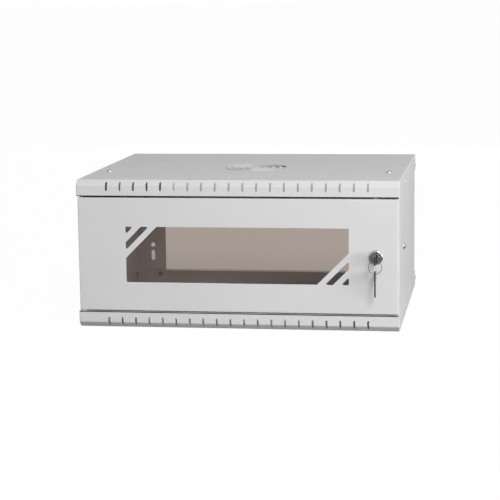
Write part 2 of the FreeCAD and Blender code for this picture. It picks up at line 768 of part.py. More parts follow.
door_glass = new_body("door_glass")
glass_outline = front_sketch(door_glass, "glass_outline", "pane_front")
draw_rectangle(
    glass_outline,
    "-window_side - glass_overlap",
    "window_middle - window_height / 2 - glass_overlap",
    "window_side + glass_overlap",
    "window_middle + window_height / 2 + glass_overlap",
)
pad(door_glass, glass_outline, "glass_thickness", "glass_sheet", backwards=True)

glazing_tape = new_body("glazing_tape")
tape_outline = front_sketch(glazing_tape, "tape_outline", "door_inside")
for beyond in ("glass_overlap", "tape_setback"):
    draw_rectangle(
        tape_outline,
        f"-window_side - {beyond}",
        f"window_middle - window_height / 2 - {beyond}",
        f"window_side + {beyond}",
        f"window_middle + window_height / 2 + {beyond}",
    )
pad(glazing_tape, tape_outline, "tape_thickness", "tape_strips", backwards=True)


# Hinge: a fixed headed pin below, and a sprung bent pin above


def cylinder(name, radius, height, **where):
    shape = bind(document.addObject("Part::Cylinder", name), Radius=radius, Height=height)
    return put(shape, **where)


def fuse(name, *shapes):
    joined = document.addObject("Part::MultiFuse", name)
    joined.Shapes = list(shapes)
    joined.Label = name
    return joined


def cut(name, base, tool):
    result = document.addObject("Part::Cut", name)
    result.Base = base
    result.Tool = tool
    result.Label = name
    return result


def prism(name, sides, half_corners, height, **where):
    shape = document.addObject("Part::Prism", name)
    shape.Label = name
    bind(shape, Polygon=sides, Circumradius=half_corners, Height=height)
    return put(shape, **where)


def screw_head(name, diameter, height, **where):
    """A round head, which has flat sides here because there are many of them."""
    return prism(name, "head_sides", f"{diameter} / 2", height, **where)


def hexagon(name, width, height, **where):
    return prism(name, "nut_sides", f"{width} / sqrt(3)", height, **where)


def sweep(label, section, path):
    """A solid that follows a path."""
    document.recompute()
    shape = document.addObject("Part::Sweep", label)
    shape.Label = label
    shape.Sections = [section]
    shape.Spine = (path, [f"Edge{number}" for number in range(1, len(path.Shape.Edges) + 1)])
    shape.Solid = True
    return shape


PIVOT = {"x": "pivot_across", "y": "pivot_behind"}

lower_hinge_pin = fuse(
    "lower_hinge_pin",
    cylinder("lower_pin_head", "pin_head_diameter / 2", "pin_head_height", z="door_low + door_sheet", **PIVOT),
    cylinder(
        "lower_pin_shaft",
        "pin_radius",
        "door_low + door_sheet - lip_low + pin_past_lip",
        z="lip_low - pin_past_lip",
        **PIVOT,
    ),
)
hinge_washer = cut(
    "hinge_washer",
    cylinder("washer_disc", "washer_diameter / 2", "door_gap - rest_gap", z="rim_height", **PIVOT),
    cylinder("washer_bore", "pin_radius + running_fit", "door_gap", z="rim_height", **PIVOT),
)

upper_hinge_bracket = new_body("upper_hinge_bracket")
bracket_start = "-door_side + door_sheet + bracket_setback"
bracket_profile = new_sketch(upper_hinge_bracket, "YZ_Plane", "bracket_profile", bracket_start)
draw_outline(bracket_profile, [
    ("door_inside", "bracket_base"),
    ("door_back - bracket_end_gap", "bracket_base"),
    ("door_back - bracket_end_gap", "bracket_seat"),
    ("door_inside + bracket_sheet", "bracket_seat"),
    ("door_inside + bracket_sheet", "bracket_base + bracket_tab"),
    ("door_inside", "bracket_base + bracket_tab"),
])
pad(upper_hinge_bracket, bracket_profile, "bracket_width", "bracket_sheet_metal")
bracket_pin_place = new_sketch(upper_hinge_bracket, "XY_Plane", "bracket_pin_place", "bracket_base")
draw_circle(bracket_pin_place, "pivot_across", "pivot_behind", "pin_radius + running_fit")
pocket(upper_hinge_bracket, bracket_pin_place, "bracket_pin_hole")

rod_path = document.addObject("Sketcher::SketchObject", "upper_pin_path")
put(rod_path, y="pivot_behind", turn=TOWARDS_FRONT)
ROD_TOP = "lip_high + pin_past_lip"
ROD_BOTTOM = "bracket_base - rest_gap - pin_radius"
draw_outline(
    rod_path,
    [
        ("pivot_across", ROD_TOP),
        ("pivot_across", ROD_BOTTOM),
        ("pivot_across + handle_length", ROD_BOTTOM),
    ],
    closed=False,
)
rod_section = bind(document.addObject("Part::Circle", "upper_pin_section"), Radius="pin_radius")
put(rod_section, z=ROD_TOP, **PIVOT)
upper_hinge_pin = sweep("upper_hinge_pin", rod_section, rod_path)
upper_hinge_pin.Transition = "Right corner"
pin_collar = cut(
    "pin_collar",
    cylinder("collar_disc", "collar_diameter / 2", "collar_height", z="bracket_seat + spring_length", **PIVOT),
    cylinder("collar_bore", "pin_radius + thread_fit", "collar_height", z="bracket_seat + spring_length", **PIVOT),
)

coil = bind(
    document.addObject("Part::Helix", "spring_coil"),
    Pitch="(spring_length - spring_wire - rest_gap) / spring_turns",
    Height="spring_length - spring_wire - rest_gap",
    Radius="spring_radius",
)
put(coil, z="bracket_seat + spring_wire / 2 + rest_gap / 2", **PIVOT)
wire = document.addObject("Part::Plane", "spring_wire_section")
bind(wire, Length="spring_wire", Width="spring_wire")
put(
    wire,
    x="pivot_across + spring_radius - spring_wire / 2",
    y="pivot_behind",
    z="bracket_seat + rest_gap / 2",
    turn=TOWARDS_FRONT,
)
pin_spring = sweep("pin_spring", wire, coil)
pin_spring.Frenet = True


# Lock: body with a flatted barrel, nut, turning plug with keyway, and cam

lock_body = new_body("lock_body")
lock_face = front_sketch(lock_body, "lock_face_outline", "front_face")
draw_circle(lock_face, "lock_across", "lock_height", "lock_face_diameter / 2")
pad(lock_body, lock_face, "lock_face_thickness", "lock_face")
lock_barrel = front_sketch(lock_body, "lock_barrel_outline", "front_face")
draw_flatted_circle(
    lock_barrel, "lock_across", "lock_height", "lock_barrel_diameter / 2", "lock_barrel_flats / 2"
)
pad(lock_body, lock_barrel, "barrel_back - front_face", "lock_barrel", backwards=True)
lock_bore = front_sketch(lock_body, "lock_bore_outline", "lock_front")
draw_circle(lock_bore, "lock_across", "lock_height", "plug_diameter / 2 + running_fit")
pocket(lock_body, lock_bore, "lock_bore")


LOCK = {"x": "lock_across", "z": "lock_height"}

lock_nut = put(
    cut(
        "lock_nut",
        hexagon("lock_nut_blank", "lock_nut_width", "lock_nut_thickness"),
        cylinder("lock_nut_bore", "lock_barrel_diameter / 2 + thread_fit", "lock_nut_thickness"),
    ),
    y="door_inside",
    turn=TOWARDS_BACK,
    **LOCK,
)

lock_plug = new_body("lock_plug")
plug_outline = front_sketch(lock_plug, "plug_outline", "lock_front")
draw_circle(plug_outline, "lock_across", "lock_height", "plug_diameter / 2")
pad(lock_plug, plug_outline, "barrel_back + rest_gap / 2 - lock_front", "plug_barrel", backwards=True)
square_outline = front_sketch(lock_plug, "plug_square_outline", "barrel_back")
draw_rectangle(
    square_outline,
    "lock_across - cam_square / 2",
    "lock_height - cam_square / 2",
    "lock_across + cam_square / 2",
    "lock_height + cam_square / 2",
)
pad(lock_plug, square_outline, "cam_back - thread_fit - barrel_back", "plug_square", backwards=True)
keyway = front_sketch(lock_plug, "keyway_outline", "lock_front")
draw_rectangle(
    keyway,
    "lock_across - key_thickness / 2 - keyway_fit",
    "lock_height - blade_width / 2 - keyway_fit",
    "lock_across + key_thickness / 2 + keyway_fit",
    "lock_height + blade_width / 2 + keyway_fit",
)
pocket(lock_plug, keyway, "keyway", "key_in_plug + keyway_fit")

lock_cam = new_body("lock_cam")
cam_outline = front_sketch(lock_cam, "cam_outline", "cam_front")
draw_rectangle(
    cam_outline,
    "lock_across - cam_width / 2",
    "lock_height - cam_tail",
    "lock_across + cam_width / 2",
    "lock_height + cam_reach",
)
pad(lock_cam, cam_outline, "cam_thickness", "cam_plate", backwards=True)
fillet(lock_cam, "cam_ends", "cam_width / 3", lambda edge: runs_along(edge, Y_AXIS))
cam_hole = front_sketch(lock_cam, "cam_hole_outline", "cam_front")
draw_rectangle(
    cam_hole,
    "lock_across - cam_square / 2 - thread_fit",
    "lock_height - cam_square / 2 - thread_fit",
    "lock_across + cam_square / 2 + thread_fit",
    "lock_height + cam_square / 2 + thread_fit",
)
pocket(lock_cam, cam_hole, "cam_hole", "cam_thickness")

cam_screw = screw_head(
    "cam_screw", "cam_screw_head", "cam_screw_head_height", y="cam_back", turn=TOWARDS_BACK, **LOCK
)


# Two equal keys on a ring. A key is drawn about its hole, with its blade towards +Y.


def key(label, **where):
    body = new_body(label)
    bow = new_sketch(body, "YZ_Plane", f"{label}_bow_outline", "-key_thickness / 2")
    draw_rectangle(
        bow, "-hole_behind_bow", "-bow_width / 2", "bow_length - hole_behind_bow", "bow_width / 2"
    )
    pad(body, bow, "key_thickness", f"{label}_bow")
    fillet(body, f"{label}_bow_corners", "bow_corner", lambda edge: runs_along(edge, X_AXIS))
    blade = new_sketch(body, "YZ_Plane", f"{label}_blade_outline", "-key_thickness / 2")
    tip = "key_length - hole_behind_bow"
    corners = [
        ("bow_length - hole_behind_bow - bow_corner", "-blade_width / 2"),
        (f"{tip} - blade_tip", "-blade_width / 2"),
        (tip, "-blade_width / 2 + blade_tip"),
        (tip, "blade_width / 2 - blade_tip"),
        (f"{tip} - blade_tip", "blade_width / 2"),
    ]
    for cut_number in range(1, 4):
        middle = f"{tip} - blade_tip - {cut_number} * blade_cut_pitch + blade_cut_pitch / 4"
        corners += [
            (f"{middle} + blade_cut_pitch / 4", "blade_width / 2"),
            (middle, "blade_width / 2 - blade_cut"),
            (f"{middle} - blade_cut_pitch / 4", "blade_width / 2"),
        ]
    corners.append(("bow_length - hole_behind_bow - bow_corner", "blade_width / 2"))
    draw_outline(blade, corners)
    pad(body, blade, "key_thickness", f"{label}_blade")
    hole = new_sketch(body, "YZ_Plane", f"{label}_hole_place")
    draw_circle(hole, "0", "0", "key_hole / 2")
    pocket(body, hole, f"{label}_hole")
    return put(body, **where)


key_in_lock = key("key_in_lock", y="key_hole_front", **LOCK)
spare_key = key("spare_key", x="lock_across", y="key_hole_front", z="spare_hole", turn=TOWARDS_BACK)

key_ring = new_body("key_ring")
ring_section = new_sketch(key_ring, "YZ_Plane", "ring_section")
draw_outline(ring_section, [
    ("-ring_wire / 2", "ring_radius - ring_reach / 2"),
    ("0", "ring_radius - ring_reach"),
    ("ring_wire / 2", "ring_radius - ring_reach / 2"),
    ("ring_wire / 2", "ring_radius + ring_reach / 2"),
    ("0", "ring_radius + ring_reach"),
    ("-ring_wire / 2", "ring_radius + ring_reach / 2"),
])
ring_turn = key_ring.newObject("PartDesign::Revolution", "ring_turn")
ring_turn.Profile = ring_section
ring_turn.ReferenceAxis = (ring_section, ["H_Axis"])
ring_turn.Angle = 360
key_ring.Tip = ring_turn
put(key_ring, x="lock_across", y="key_hole_front", z="ring_middle")


# Buffer under the lid's lip, above the lock

door_buffer = document.addObject("Part::Box", "door_buffer")
bind(door_buffer, Length="buffer_width", Width="buffer_depth", Height="door_gap - rest_gap")
put(
    door_buffer,
    x="lock_across - buffer_width / 2",
    y="front_face + buffer_behind_front",
    z="cabinet_height - rim_height - door_gap + rest_gap",
)


# Screws and nuts, each drawn once on its seat at the origin and placed as often as
# it is used. Their threads and recesses are left out.


def group(label, model, spots):
    """One node that holds a copy of the model at every spot: three formulas and a turn."""
    copies = []
    for number, (x, y, z, turn) in enumerate(spots, 1):
        link = document.addObject("App::Link", f"{label}_{number}")
        link.LinkedObject = model
        copies.append(put(link, x, y, z, turn))
    node = document.addObject("Part::Compound", label)
    node.Links = copies
    node.Label = label
    return node


UPRIGHT = turned(Z_AXIS, 0)
OUTWARDS = {LEFT: TOWARDS_LEFT, RIGHT: TOWARDS_RIGHT}

large_screw = screw_head("large_screw", "large_head", "large_head_height")
small_screw = screw_head("small_screw", "small_head", "small_head_height")
corner_screw = screw_head("corner_screw", "corner_head", "corner_head_height")
large_nut = hexagon("large_nut", "large_nut_width", "large_nut_thickness")
small_nut = hexagon("small_nut", "small_nut_width", "small_nut_thickness")

rail_spots = [(hand, f"{hand} * rail_screw_across", "rail_screw_behind") for hand in (LEFT, RIGHT)]
top_rail_screws = group("top_rail_screws", large_screw, [
    (x, y, "cabinet_height", UPRIGHT) for hand, x, y in rail_spots
])
top_rail_nuts = group("top_rail_nuts", large_nut, [
    (x, y, "cabinet_height - tab_inside", DOWNWARDS) for hand, x, y in rail_spots
])
bottom_rail_screws = group("bottom_rail_screws", large_screw, [
    (x, y, "tab_inside", UPRIGHT) for hand, x, y in rail_spots
])

side_panel_screws = group("side_panel_screws", large_screw, [
    (f"{hand} * side_outer", "side_screw_behind", "side_screw_height", OUTWARDS[hand]) for hand in (LEFT, RIGHT)
])
side_panel_nuts = group("side_panel_nuts", large_nut, [
    (f"{hand} * (side_inner - rail_sheet)", "side_screw_behind", "side_screw_height", OUTWARDS[-hand])
    for hand in (LEFT, RIGHT)
])

flange_screw_spots = []
flange_nut_spots = []
for hand in (LEFT, RIGHT):
    for behind, seat in (("front_flange_behind", "side_inner - rail_sheet"), ("rear_flange_behind", "side_inner")):
        for level in (above_base, below_lid):
            height = level("flange_screw_height")
            flange_screw_spots.append((f"{hand} * half_width", behind, height, OUTWARDS[hand]))
            flange_nut_spots.append((f"{hand} * ({seat})", behind, height, OUTWARDS[-hand]))
cover_flange_screws = group("cover_flange_screws", small_screw, flange_screw_spots)
cover_flange_nuts = group("cover_flange_nuts", small_nut, flange_nut_spots)

rear_corner_screws = group("rear_corner_screws", corner_screw, [
    (f"{hand} * corner_screw_across", "upstand_front", level("corner_screw_height"), TOWARDS_FRONT)
    for hand in (LEFT, RIGHT)
    for level in (above_base, below_lid)
])

document.recompute()

NODES = (
    top_cover,
    bottom_tray,
    left_side_panel,
    right_side_panel,
    left_mounting_rail,
    right_mounting_rail,
    top_rail_screws,
    top_rail_nuts,
    bottom_rail_screws,
    side_panel_screws,
    side_panel_nuts,
    cover_flange_screws,
    cover_flange_nuts,
    rear_corner_screws,
    hinge_washer,
    door_buffer,
    door_panel,
    door_glass,
    glazing_tape,
    lower_hinge_pin,
    upper_hinge_bracket,
    lock_body,
    lock_nut,
    upper_hinge_pin,
    pin_collar,
    pin_spring,
    lock_plug,
    lock_cam,
    cam_screw,
    key_in_lock,
    key_ring,
    spare_key,
)

for item in document.Objects:
    if "Invalid" in item.State or "Error" in item.State:
        raise RuntimeError(f"{item.Label} did not build: {item.State}")
for node in NODES:
    if node.Shape.isNull() or not node.Shape.isValid():
        raise RuntimeError(f"{node.Label} has no valid shape")

os.makedirs("parts", exist_ok=True)
for node in NODES:
    node.Shape.exportStep(f"parts/{node.Label}.step")
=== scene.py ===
import math

import bmesh
import bpy
from mathutils import Matrix, Vector


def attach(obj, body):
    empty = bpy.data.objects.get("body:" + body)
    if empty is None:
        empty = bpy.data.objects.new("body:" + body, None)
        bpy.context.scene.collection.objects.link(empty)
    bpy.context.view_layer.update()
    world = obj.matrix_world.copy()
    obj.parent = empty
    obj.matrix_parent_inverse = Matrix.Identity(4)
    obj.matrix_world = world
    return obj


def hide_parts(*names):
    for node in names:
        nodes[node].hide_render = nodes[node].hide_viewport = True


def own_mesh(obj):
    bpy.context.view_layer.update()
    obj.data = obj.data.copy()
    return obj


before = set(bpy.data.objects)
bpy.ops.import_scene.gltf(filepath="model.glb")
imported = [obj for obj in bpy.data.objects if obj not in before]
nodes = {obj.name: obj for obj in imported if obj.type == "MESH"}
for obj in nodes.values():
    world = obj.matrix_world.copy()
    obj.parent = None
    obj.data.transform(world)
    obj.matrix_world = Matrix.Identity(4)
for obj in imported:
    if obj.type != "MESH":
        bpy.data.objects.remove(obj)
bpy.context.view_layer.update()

# Powder coat
# Fine-grained polyester powder, sprayed on the folded steel and baked. It gives an
# even light grey with a soft sheen and a very slight orange peel.
MM = 0.001


def add_node(tree, kind, settings=None, inputs=None):
    """Adds one node; inputs are values or other nodes' outputs."""
    node = tree.nodes.new(kind)
    for name, value in (settings or {}).items():
        setattr(node, name, value)
    for name, value in (inputs or {}).items():
        if isinstance(value, bpy.types.NodeSocket):
            tree.links.new(value, node.inputs[name])
        else:
            node.inputs[name].default_value = value
    return node


def linear(code):
    """Linear RGBA of an sRGB hex colour."""
    shares = [int(code[start:start + 2], 16) / 255 for start in (1, 3, 5)]
    return [s / 12.92 if s <= 0.04045 else ((s + 0.055) / 1.055) ** 2.4 for s in shares] + [1]


def new_finish(name, colour, **sockets):
    """A material whose plain values sit on the shader's own sockets, _ for a space."""
    finish = bpy.data.materials.new(name)
    finish.use_nodes = True
    finish.diffuse_color = linear(colour)
    shader = finish.node_tree.nodes["Principled BSDF"]
    shader.inputs["Base Color"].default_value = linear(colour)
    for socket, value in sockets.items():
        shader.inputs[socket.replace("_", " ")].default_value = value
    return finish, finish.node_tree, shader


def mottle(tree, shader, low, high, patch):
    """Lets the colour drift between two near shades over patches of a real size."""
    place = add_node(tree, "ShaderNodeTexCoord")
    drift = add_node(tree, "ShaderNodeTexNoise", inputs={
        "Vector": place.outputs["Object"], "Scale": 1 / patch, "Detail": 2.0})
    blend = add_node(tree, "ShaderNodeMix", {"data_type": "RGBA"}, {
        0: drift.outputs["Fac"], 6: linear(low), 7: linear(high)})
    tree.links.new(blend.outputs[2], shader.inputs["Base Color"])
    return place


def grain(tree, shader, place, size, height, depth=1.0):
    """A fine relief with bumps of a real size and height."""
    bumps = add_node(tree, "ShaderNodeTexNoise", inputs={
        "Vector": place.outputs["Object"], "Scale": 1 / size, "Detail": 3.0})
    relief = add_node(tree, "ShaderNodeBump", inputs={
        "Height": bumps.outputs["Fac"], "Distance": height, "Strength": depth})
    tree.links.new(relief.outputs["Normal"], shader.inputs["Normal"])
    return bumps


powder_coat, tree, shader = new_finish("powder_coated_steel", "#D4D4D5", Roughness=0.68, IOR=1.5)
# Orange peel is 0.3 to 1 mm wide; it is drawn at 1.4 mm so that it shows at all.
place = mottle(tree, shader, "#D1D1D2", "#D7D7D8", 60 * MM)
grain(tree, shader, place, 1.4 * MM, 0.02 * MM, 0.6)


# Lid and base
# Two like trays of 1.2 mm steel. The front is folded at 45 degrees, down to a band and
# in to a lip; the sides and the rear are folded too. The vents are punched beforehand.
WIDTH = 540 * MM
DEPTH = 450 * MM
HEIGHT = 250 * MM
SHEET = 1.2 * MM
FOLD_RADIUS = 1.5 * MM
RIM = 27.6 * MM
SLOPE = 9 * MM
FRONT_LIP = 16 * MM
REAR_RISE = 26 * MM
REAR_LIP = 20 * MM
REAR_GAP = 1.3 * MM
UPSTAND_INSET = 22 * MM
VENT_COUNT = 20
VENT_PITCH = 23 * MM
# The photograph shows the slots slightly wider than the 3 mm punch in the solids.
VENT_WIDTH = 3.4 * MM
VENT_LENGTH = 15.2 * MM
VENT_MIDDLE = 11.1 * MM
VENT_CORNER_STEPS = 1
GRILLE_RINGS = 4
GRILLE_FIRST_RADIUS = 17 * MM
GRILLE_PITCH = 12.5 * MM
GRILLE_SLOT = 6.5 * MM
GRILLE_SPOKE = 6 * MM
GRILLE_BEHIND_FRONT = 207 * MM
GRILLE_ARC_STEPS = 14


def new_piece(name):
    """An empty piece at the origin."""
    piece = bpy.data.objects.new(name, bpy.data.meshes.new(name))
    bpy.context.scene.collection.objects.link(piece)
    return piece


def folded_sheet(name, corners, panels, radius, up):
    """A sheet's outer side: panels between named corners, with every fold rounded."""
    form = bmesh.new()
    spots = {key: form.verts.new(spot) for key, spot in corners.items()}
    faces = [form.faces.new([spots[key] for key in panel]) for panel in panels]
    bmesh.ops.recalc_face_normals(form, faces=form.faces)
    if faces[0].normal.dot(Vector(up)) < 0:
        bmesh.ops.reverse_faces(form, faces=form.faces)
    folds = [edge for edge in form.edges if len(edge.link_faces) == 2]
    bmesh.ops.bevel(form, geom=folds, offset=radius, segments=4, profile=0.5, affect="EDGES")
    piece = new_piece(name)
    form.to_mesh(piece.data)
    form.free()
    return piece


def thicken(piece, thickness):
    """Gives a sheet its thickness, inwards."""
    wall = piece.modifiers.new("sheet", "SOLIDIFY")
    wall.thickness = thickness
    wall.offset = -1
    wall.use_even_offset = True
    return piece


def keep_shape(piece):
    """Turns a piece with its modifiers into plain mesh."""
    evaluated = piece.evaluated_get(bpy.context.evaluated_depsgraph_get())
    mesh = bpy.data.meshes.new_from_object(evaluated)
    piece.modifiers.clear()
    piece.data = mesh
    return piece


def new_tree(name, sizes):
    """A geometry tree with a geometry, named sizes and a finish as its inputs."""
    tree = bpy.data.node_groups.new(name, "GeometryNodeTree")
    tree.interface.new_socket("Geometry", in_out="INPUT", socket_type="NodeSocketGeometry")
    for size in sizes:
        kind = "NodeSocketInt" if size.startswith("Number") else "NodeSocketFloat"
        tree.interface.new_socket(size, in_out="INPUT", socket_type=kind)
    tree.interface.new_socket("Finish", in_out="INPUT", socket_type="NodeSocketMaterial")
    tree.interface.new_socket("Geometry", in_out="OUTPUT", socket_type="NodeSocketGeometry")
    return tree, tree.nodes.new("NodeGroupInput").outputs


def end_tree(tree, shape, finish):
    """Closes a tree: real geometry, one finish, output."""
    real = add_node(tree, "GeometryNodeRealizeInstances", inputs={"Geometry": shape})
    dressed = add_node(tree, "GeometryNodeSetMaterial", inputs={
        "Geometry": real.outputs[0], "Material": finish})
    add_node(tree, "NodeGroupOutput", inputs={"Geometry": dressed.outputs[0]})


def run_tree(piece, tree, **sizes):
    """Runs a tree on a piece. A size's name is its input's name, with _ for a space."""
    step = piece.modifiers.new(tree.name, "NODES")
    step.node_group = tree
    values = {name.replace("_", " "): value for name, value in sizes.items()}
    for item in tree.interface.items_tree:
        if item.in_out == "INPUT" and item.name in values:
            step[item.identifier] = values[item.name]
    return keep_shape(piece)


def smooth(piece, angle=35):
    """Soft shading inside curves and crisp flats."""
    piece.data.polygons.foreach_set("use_smooth", [True] * len(piece.data.polygons))
    piece.data.set_sharp_from_angle(angle=math.radians(angle))
    flats = piece.modifiers.new("flats", "WEIGHTED_NORMAL")
    flats.keep_sharp = True
    return keep_shape(piece)


def tray(name, level, up):
    """One cover; level turns a distance from its plate into a height."""
    half, front, rear = WIDTH / 2, -DEPTH / 2, DEPTH / 2
    back = rear - REAR_GAP
    corners = {}
    for side, hand in (("l", -1), ("r", 1)):
        corners.update({
            "band_low_" + side: (hand * half, front, level(RIM)),
            "lip_root_" + side: (hand * (half - SHEET), front, level(RIM)),
            "lip_end_" + side: (hand * (half - SHEET), front + FRONT_LIP, level(RIM)),
            "slope_low_" + side: (hand * half, front, level(SLOPE)),
            "slope_high_" + side: (hand * half, front + SLOPE, level(0)),
            "plate_rear_" + side: (hand * half, back, level(0)),
            "side_rear_" + side: (hand * half, rear, level(0)),
            "side_low_" + side: (hand * half, rear, level(RIM)),
            "upstand_root_" + side: (hand * (half - UPSTAND_INSET), back, level(0)),
            "upstand_low_" + side: (hand * (half - UPSTAND_INSET), back, level(REAR_RISE)),
            "rear_lip_" + side: (hand * (half - UPSTAND_INSET), back - REAR_LIP, level(REAR_RISE)),
        })
    panels = [
        ["slope_high_l", "slope_high_r", "plate_rear_r", "upstand_root_r", "upstand_root_l", "plate_rear_l"],
        ["slope_low_l", "slope_low_r", "slope_high_r", "slope_high_l"],
        ["band_low_l", "lip_root_l", "lip_root_r", "band_low_r", "slope_low_r", "slope_low_l"],
        ["lip_root_l", "lip_root_r", "lip_end_r", "lip_end_l"],
        ["upstand_root_l", "upstand_root_r", "upstand_low_r", "upstand_low_l"],
        ["upstand_low_l", "upstand_low_r", "rear_lip_r", "rear_lip_l"],
    ]
    for side in "lr":
        panels.append([part + side for part in (
            "band_low_", "slope_low_", "slope_high_", "plate_rear_", "side_rear_", "side_low_")])
    return thicken(folded_sheet(name, corners, panels, FOLD_RADIUS, up), SHEET)


# The vents' tree: one slot with its corners cut off, set in a row and cut out of the
# sheet. A cut stays just under half the slot's width, so that two of them don't meet.
vent_tree, given = new_tree("punched_vents", [
    "Number of slots", "Pitch", "Slot width", "Slot length", "Cut depth", "Front", "Slot height"])
slot = add_node(vent_tree, "GeometryNodeCurvePrimitiveQuadrilateral", inputs={
    "Width": given["Slot width"], "Height": given["Slot length"]})
corner_cut = add_node(vent_tree, "ShaderNodeMath", {"operation": "MULTIPLY"}, {
    0: given["Slot width"], 1: 0.49})
cut_slot = add_node(vent_tree, "GeometryNodeFilletCurve", {"mode": "POLY"}, {
    "Curve": slot.outputs["Curve"], "Count": VENT_CORNER_STEPS, "Radius": corner_cut.outputs[0]})
blank = add_node(vent_tree, "GeometryNodeFillCurve", inputs={"Curve": cut_slot.outputs["Curve"]})
reach = add_node(vent_tree, "ShaderNodeCombineXYZ", inputs={"Z": given["Cut depth"]})
drawn = add_node(vent_tree, "GeometryNodeExtrudeMesh", inputs={
    "Mesh": blank.outputs["Mesh"], "Offset": reach.outputs[0], "Individual": False})
base_face = add_node(vent_tree, "GeometryNodeFlipFaces", inputs={"Mesh": blank.outputs["Mesh"]})
both = add_node(vent_tree, "GeometryNodeJoinGeometry", inputs={"Geometry": drawn.outputs["Mesh"]})
vent_tree.links.new(base_face.outputs["Mesh"], both.inputs["Geometry"])
punch = add_node(vent_tree, "GeometryNodeMergeByDistance", inputs={
    "Geometry": both.outputs[0], "Distance": 0.001 * MM})
upright = add_node(vent_tree, "GeometryNodeTransform", inputs={
    "Geometry": punch.outputs[0], "Rotation": (-math.pi / 2, 0, 0)})
last = add_node(vent_tree, "ShaderNodeMath", {"operation": "SUBTRACT"}, {
    0: given["Number of slots"], 1: 1.0})
span = add_node(vent_tree, "ShaderNodeMath", {"operation": "MULTIPLY"}, {
    0: last.outputs[0], 1: given["Pitch"]})
start = add_node(vent_tree, "ShaderNodeMath", {"operation": "MULTIPLY"}, {
    0: span.outputs[0], 1: -0.5})
first_spot = add_node(vent_tree, "ShaderNodeCombineXYZ", inputs={
    "X": start.outputs[0], "Y": given["Front"], "Z": given["Slot height"]})
step = add_node(vent_tree, "ShaderNodeCombineXYZ", inputs={"X": given["Pitch"]})
row = add_node(vent_tree, "GeometryNodeMeshLine", inputs={
    "Count": given["Number of slots"], "Start Location": first_spot.outputs[0],
    "Offset": step.outputs[0]})
punches = add_node(vent_tree, "GeometryNodeInstanceOnPoints", inputs={
    "Points": row.outputs["Mesh"], "Instance": upright.outputs[0]})
real_punches = add_node(vent_tree, "GeometryNodeRealizeInstances", inputs={
    "Geometry": punches.outputs[0]})
punched = add_node(vent_tree, "GeometryNodeMeshBoolean", {"operation": "DIFFERENCE"}, {
    "Mesh 1": given["Geometry"], "Mesh 2": real_punches.outputs[0]})
end_tree(vent_tree, punched.outputs["Mesh"], given["Finish"])

# The fan grille's tree: a quarter of a circle for each ring, shortened for the spokes,
# given the slot's section, turned into four and cut out of the lid.
grille_tree, given = new_tree("punched_fan_grille", [
    "Number of rings", "First radius", "Ring pitch", "Slot width", "Spoke", "Cut depth", "Middle", "Top"])
quarter = add_node(grille_tree, "GeometryNodeCurveArc", inputs={
    "Resolution": GRILLE_ARC_STEPS, "Radius": 1.0, "Start Angle": 0.0, "Sweep Angle": math.pi / 2})
inner = add_node(grille_tree, "ShaderNodeCombineXYZ", inputs={"X": given["First radius"]})
apart = add_node(grille_tree, "ShaderNodeCombineXYZ", inputs={"X": given["Ring pitch"]})
radii = add_node(grille_tree, "GeometryNodeMeshLine", inputs={
    "Count": given["Number of rings"], "Start Location": inner.outputs[0],
    "Offset": apart.outputs[0]})
spot = add_node(grille_tree, "GeometryNodeInputPosition")
spot_parts = add_node(grille_tree, "ShaderNodeSeparateXYZ", inputs={0: spot.outputs[0]})
set_size = add_node(
    grille_tree, "GeometryNodeStoreNamedAttribute", {"data_type": "FLOAT", "domain": "POINT"},
    {"Geometry": radii.outputs["Mesh"], "Name": "ring", "Value": spot_parts.outputs["X"]})
nowhere = add_node(grille_tree, "ShaderNodeCombineXYZ")
at_middle = add_node(grille_tree, "GeometryNodeSetPosition", inputs={
    "Geometry": set_size.outputs[0], "Position": nowhere.outputs[0]})
ring_size = add_node(grille_tree, "GeometryNodeInputNamedAttribute", {"data_type": "FLOAT"}, {
    "Name": "ring"})
quarters = add_node(grille_tree, "GeometryNodeInstanceOnPoints", inputs={
    "Points": at_middle.outputs[0], "Instance": quarter.outputs["Curve"],
    "Scale": ring_size.outputs[0]})
real_quarters = add_node(grille_tree, "GeometryNodeRealizeInstances", inputs={
    "Geometry": quarters.outputs[0]})
length = add_node(grille_tree, "GeometryNodeSplineLength")
free = add_node(grille_tree, "ShaderNodeMath", {"operation": "MULTIPLY"}, {0: given["Spoke"], 1: 0.5})
stop = add_node(grille_tree, "ShaderNodeMath", {"operation": "SUBTRACT"}, {
    0: length.outputs["Length"], 1: free.outputs[0]})
# Inputs 4 and 5 are the trim's start and end as lengths; 2 and 3 are shares.
trimmed = add_node(grille_tree, "GeometryNodeTrimCurve", {"mode": "LENGTH"}, {
    "Curve": real_quarters.outputs[0], 4: free.outputs[0], 5: stop.outputs[0]})
profile = add_node(grille_tree, "GeometryNodeCurvePrimitiveQuadrilateral", inputs={
    "Width": given["Slot width"], "Height": given["Cut depth"]})
arc_punch = add_node(grille_tree, "GeometryNodeCurveToMesh", inputs={
    "Curve": trimmed.outputs["Curve"], "Profile Curve": profile.outputs["Curve"], "Fill Caps": True})
four = add_node(grille_tree, "GeometryNodeMeshLine", inputs={
    "Count": 4, "Offset": (0.0, 0.0, 0.0)})
turn_number = add_node(grille_tree, "GeometryNodeInputIndex")
turn = add_node(grille_tree, "ShaderNodeMath", {"operation": "MULTIPLY"}, {
    0: turn_number.outputs[0], 1: math.pi / 2})
about_z = add_node(grille_tree, "ShaderNodeCombineXYZ", inputs={"Z": turn.outputs[0]})
all_arcs = add_node(grille_tree, "GeometryNodeInstanceOnPoints", inputs={
    "Points": four.outputs["Mesh"], "Instance": arc_punch.outputs["Mesh"],
    "Rotation": about_z.outputs[0]})
grille_spot = add_node(grille_tree, "ShaderNodeCombineXYZ", inputs={
    "Y": given["Middle"], "Z": given["Top"]})
placed = add_node(grille_tree, "GeometryNodeTransform", inputs={
    "Geometry": all_arcs.outputs[0], "Translation": grille_spot.outputs[0]})
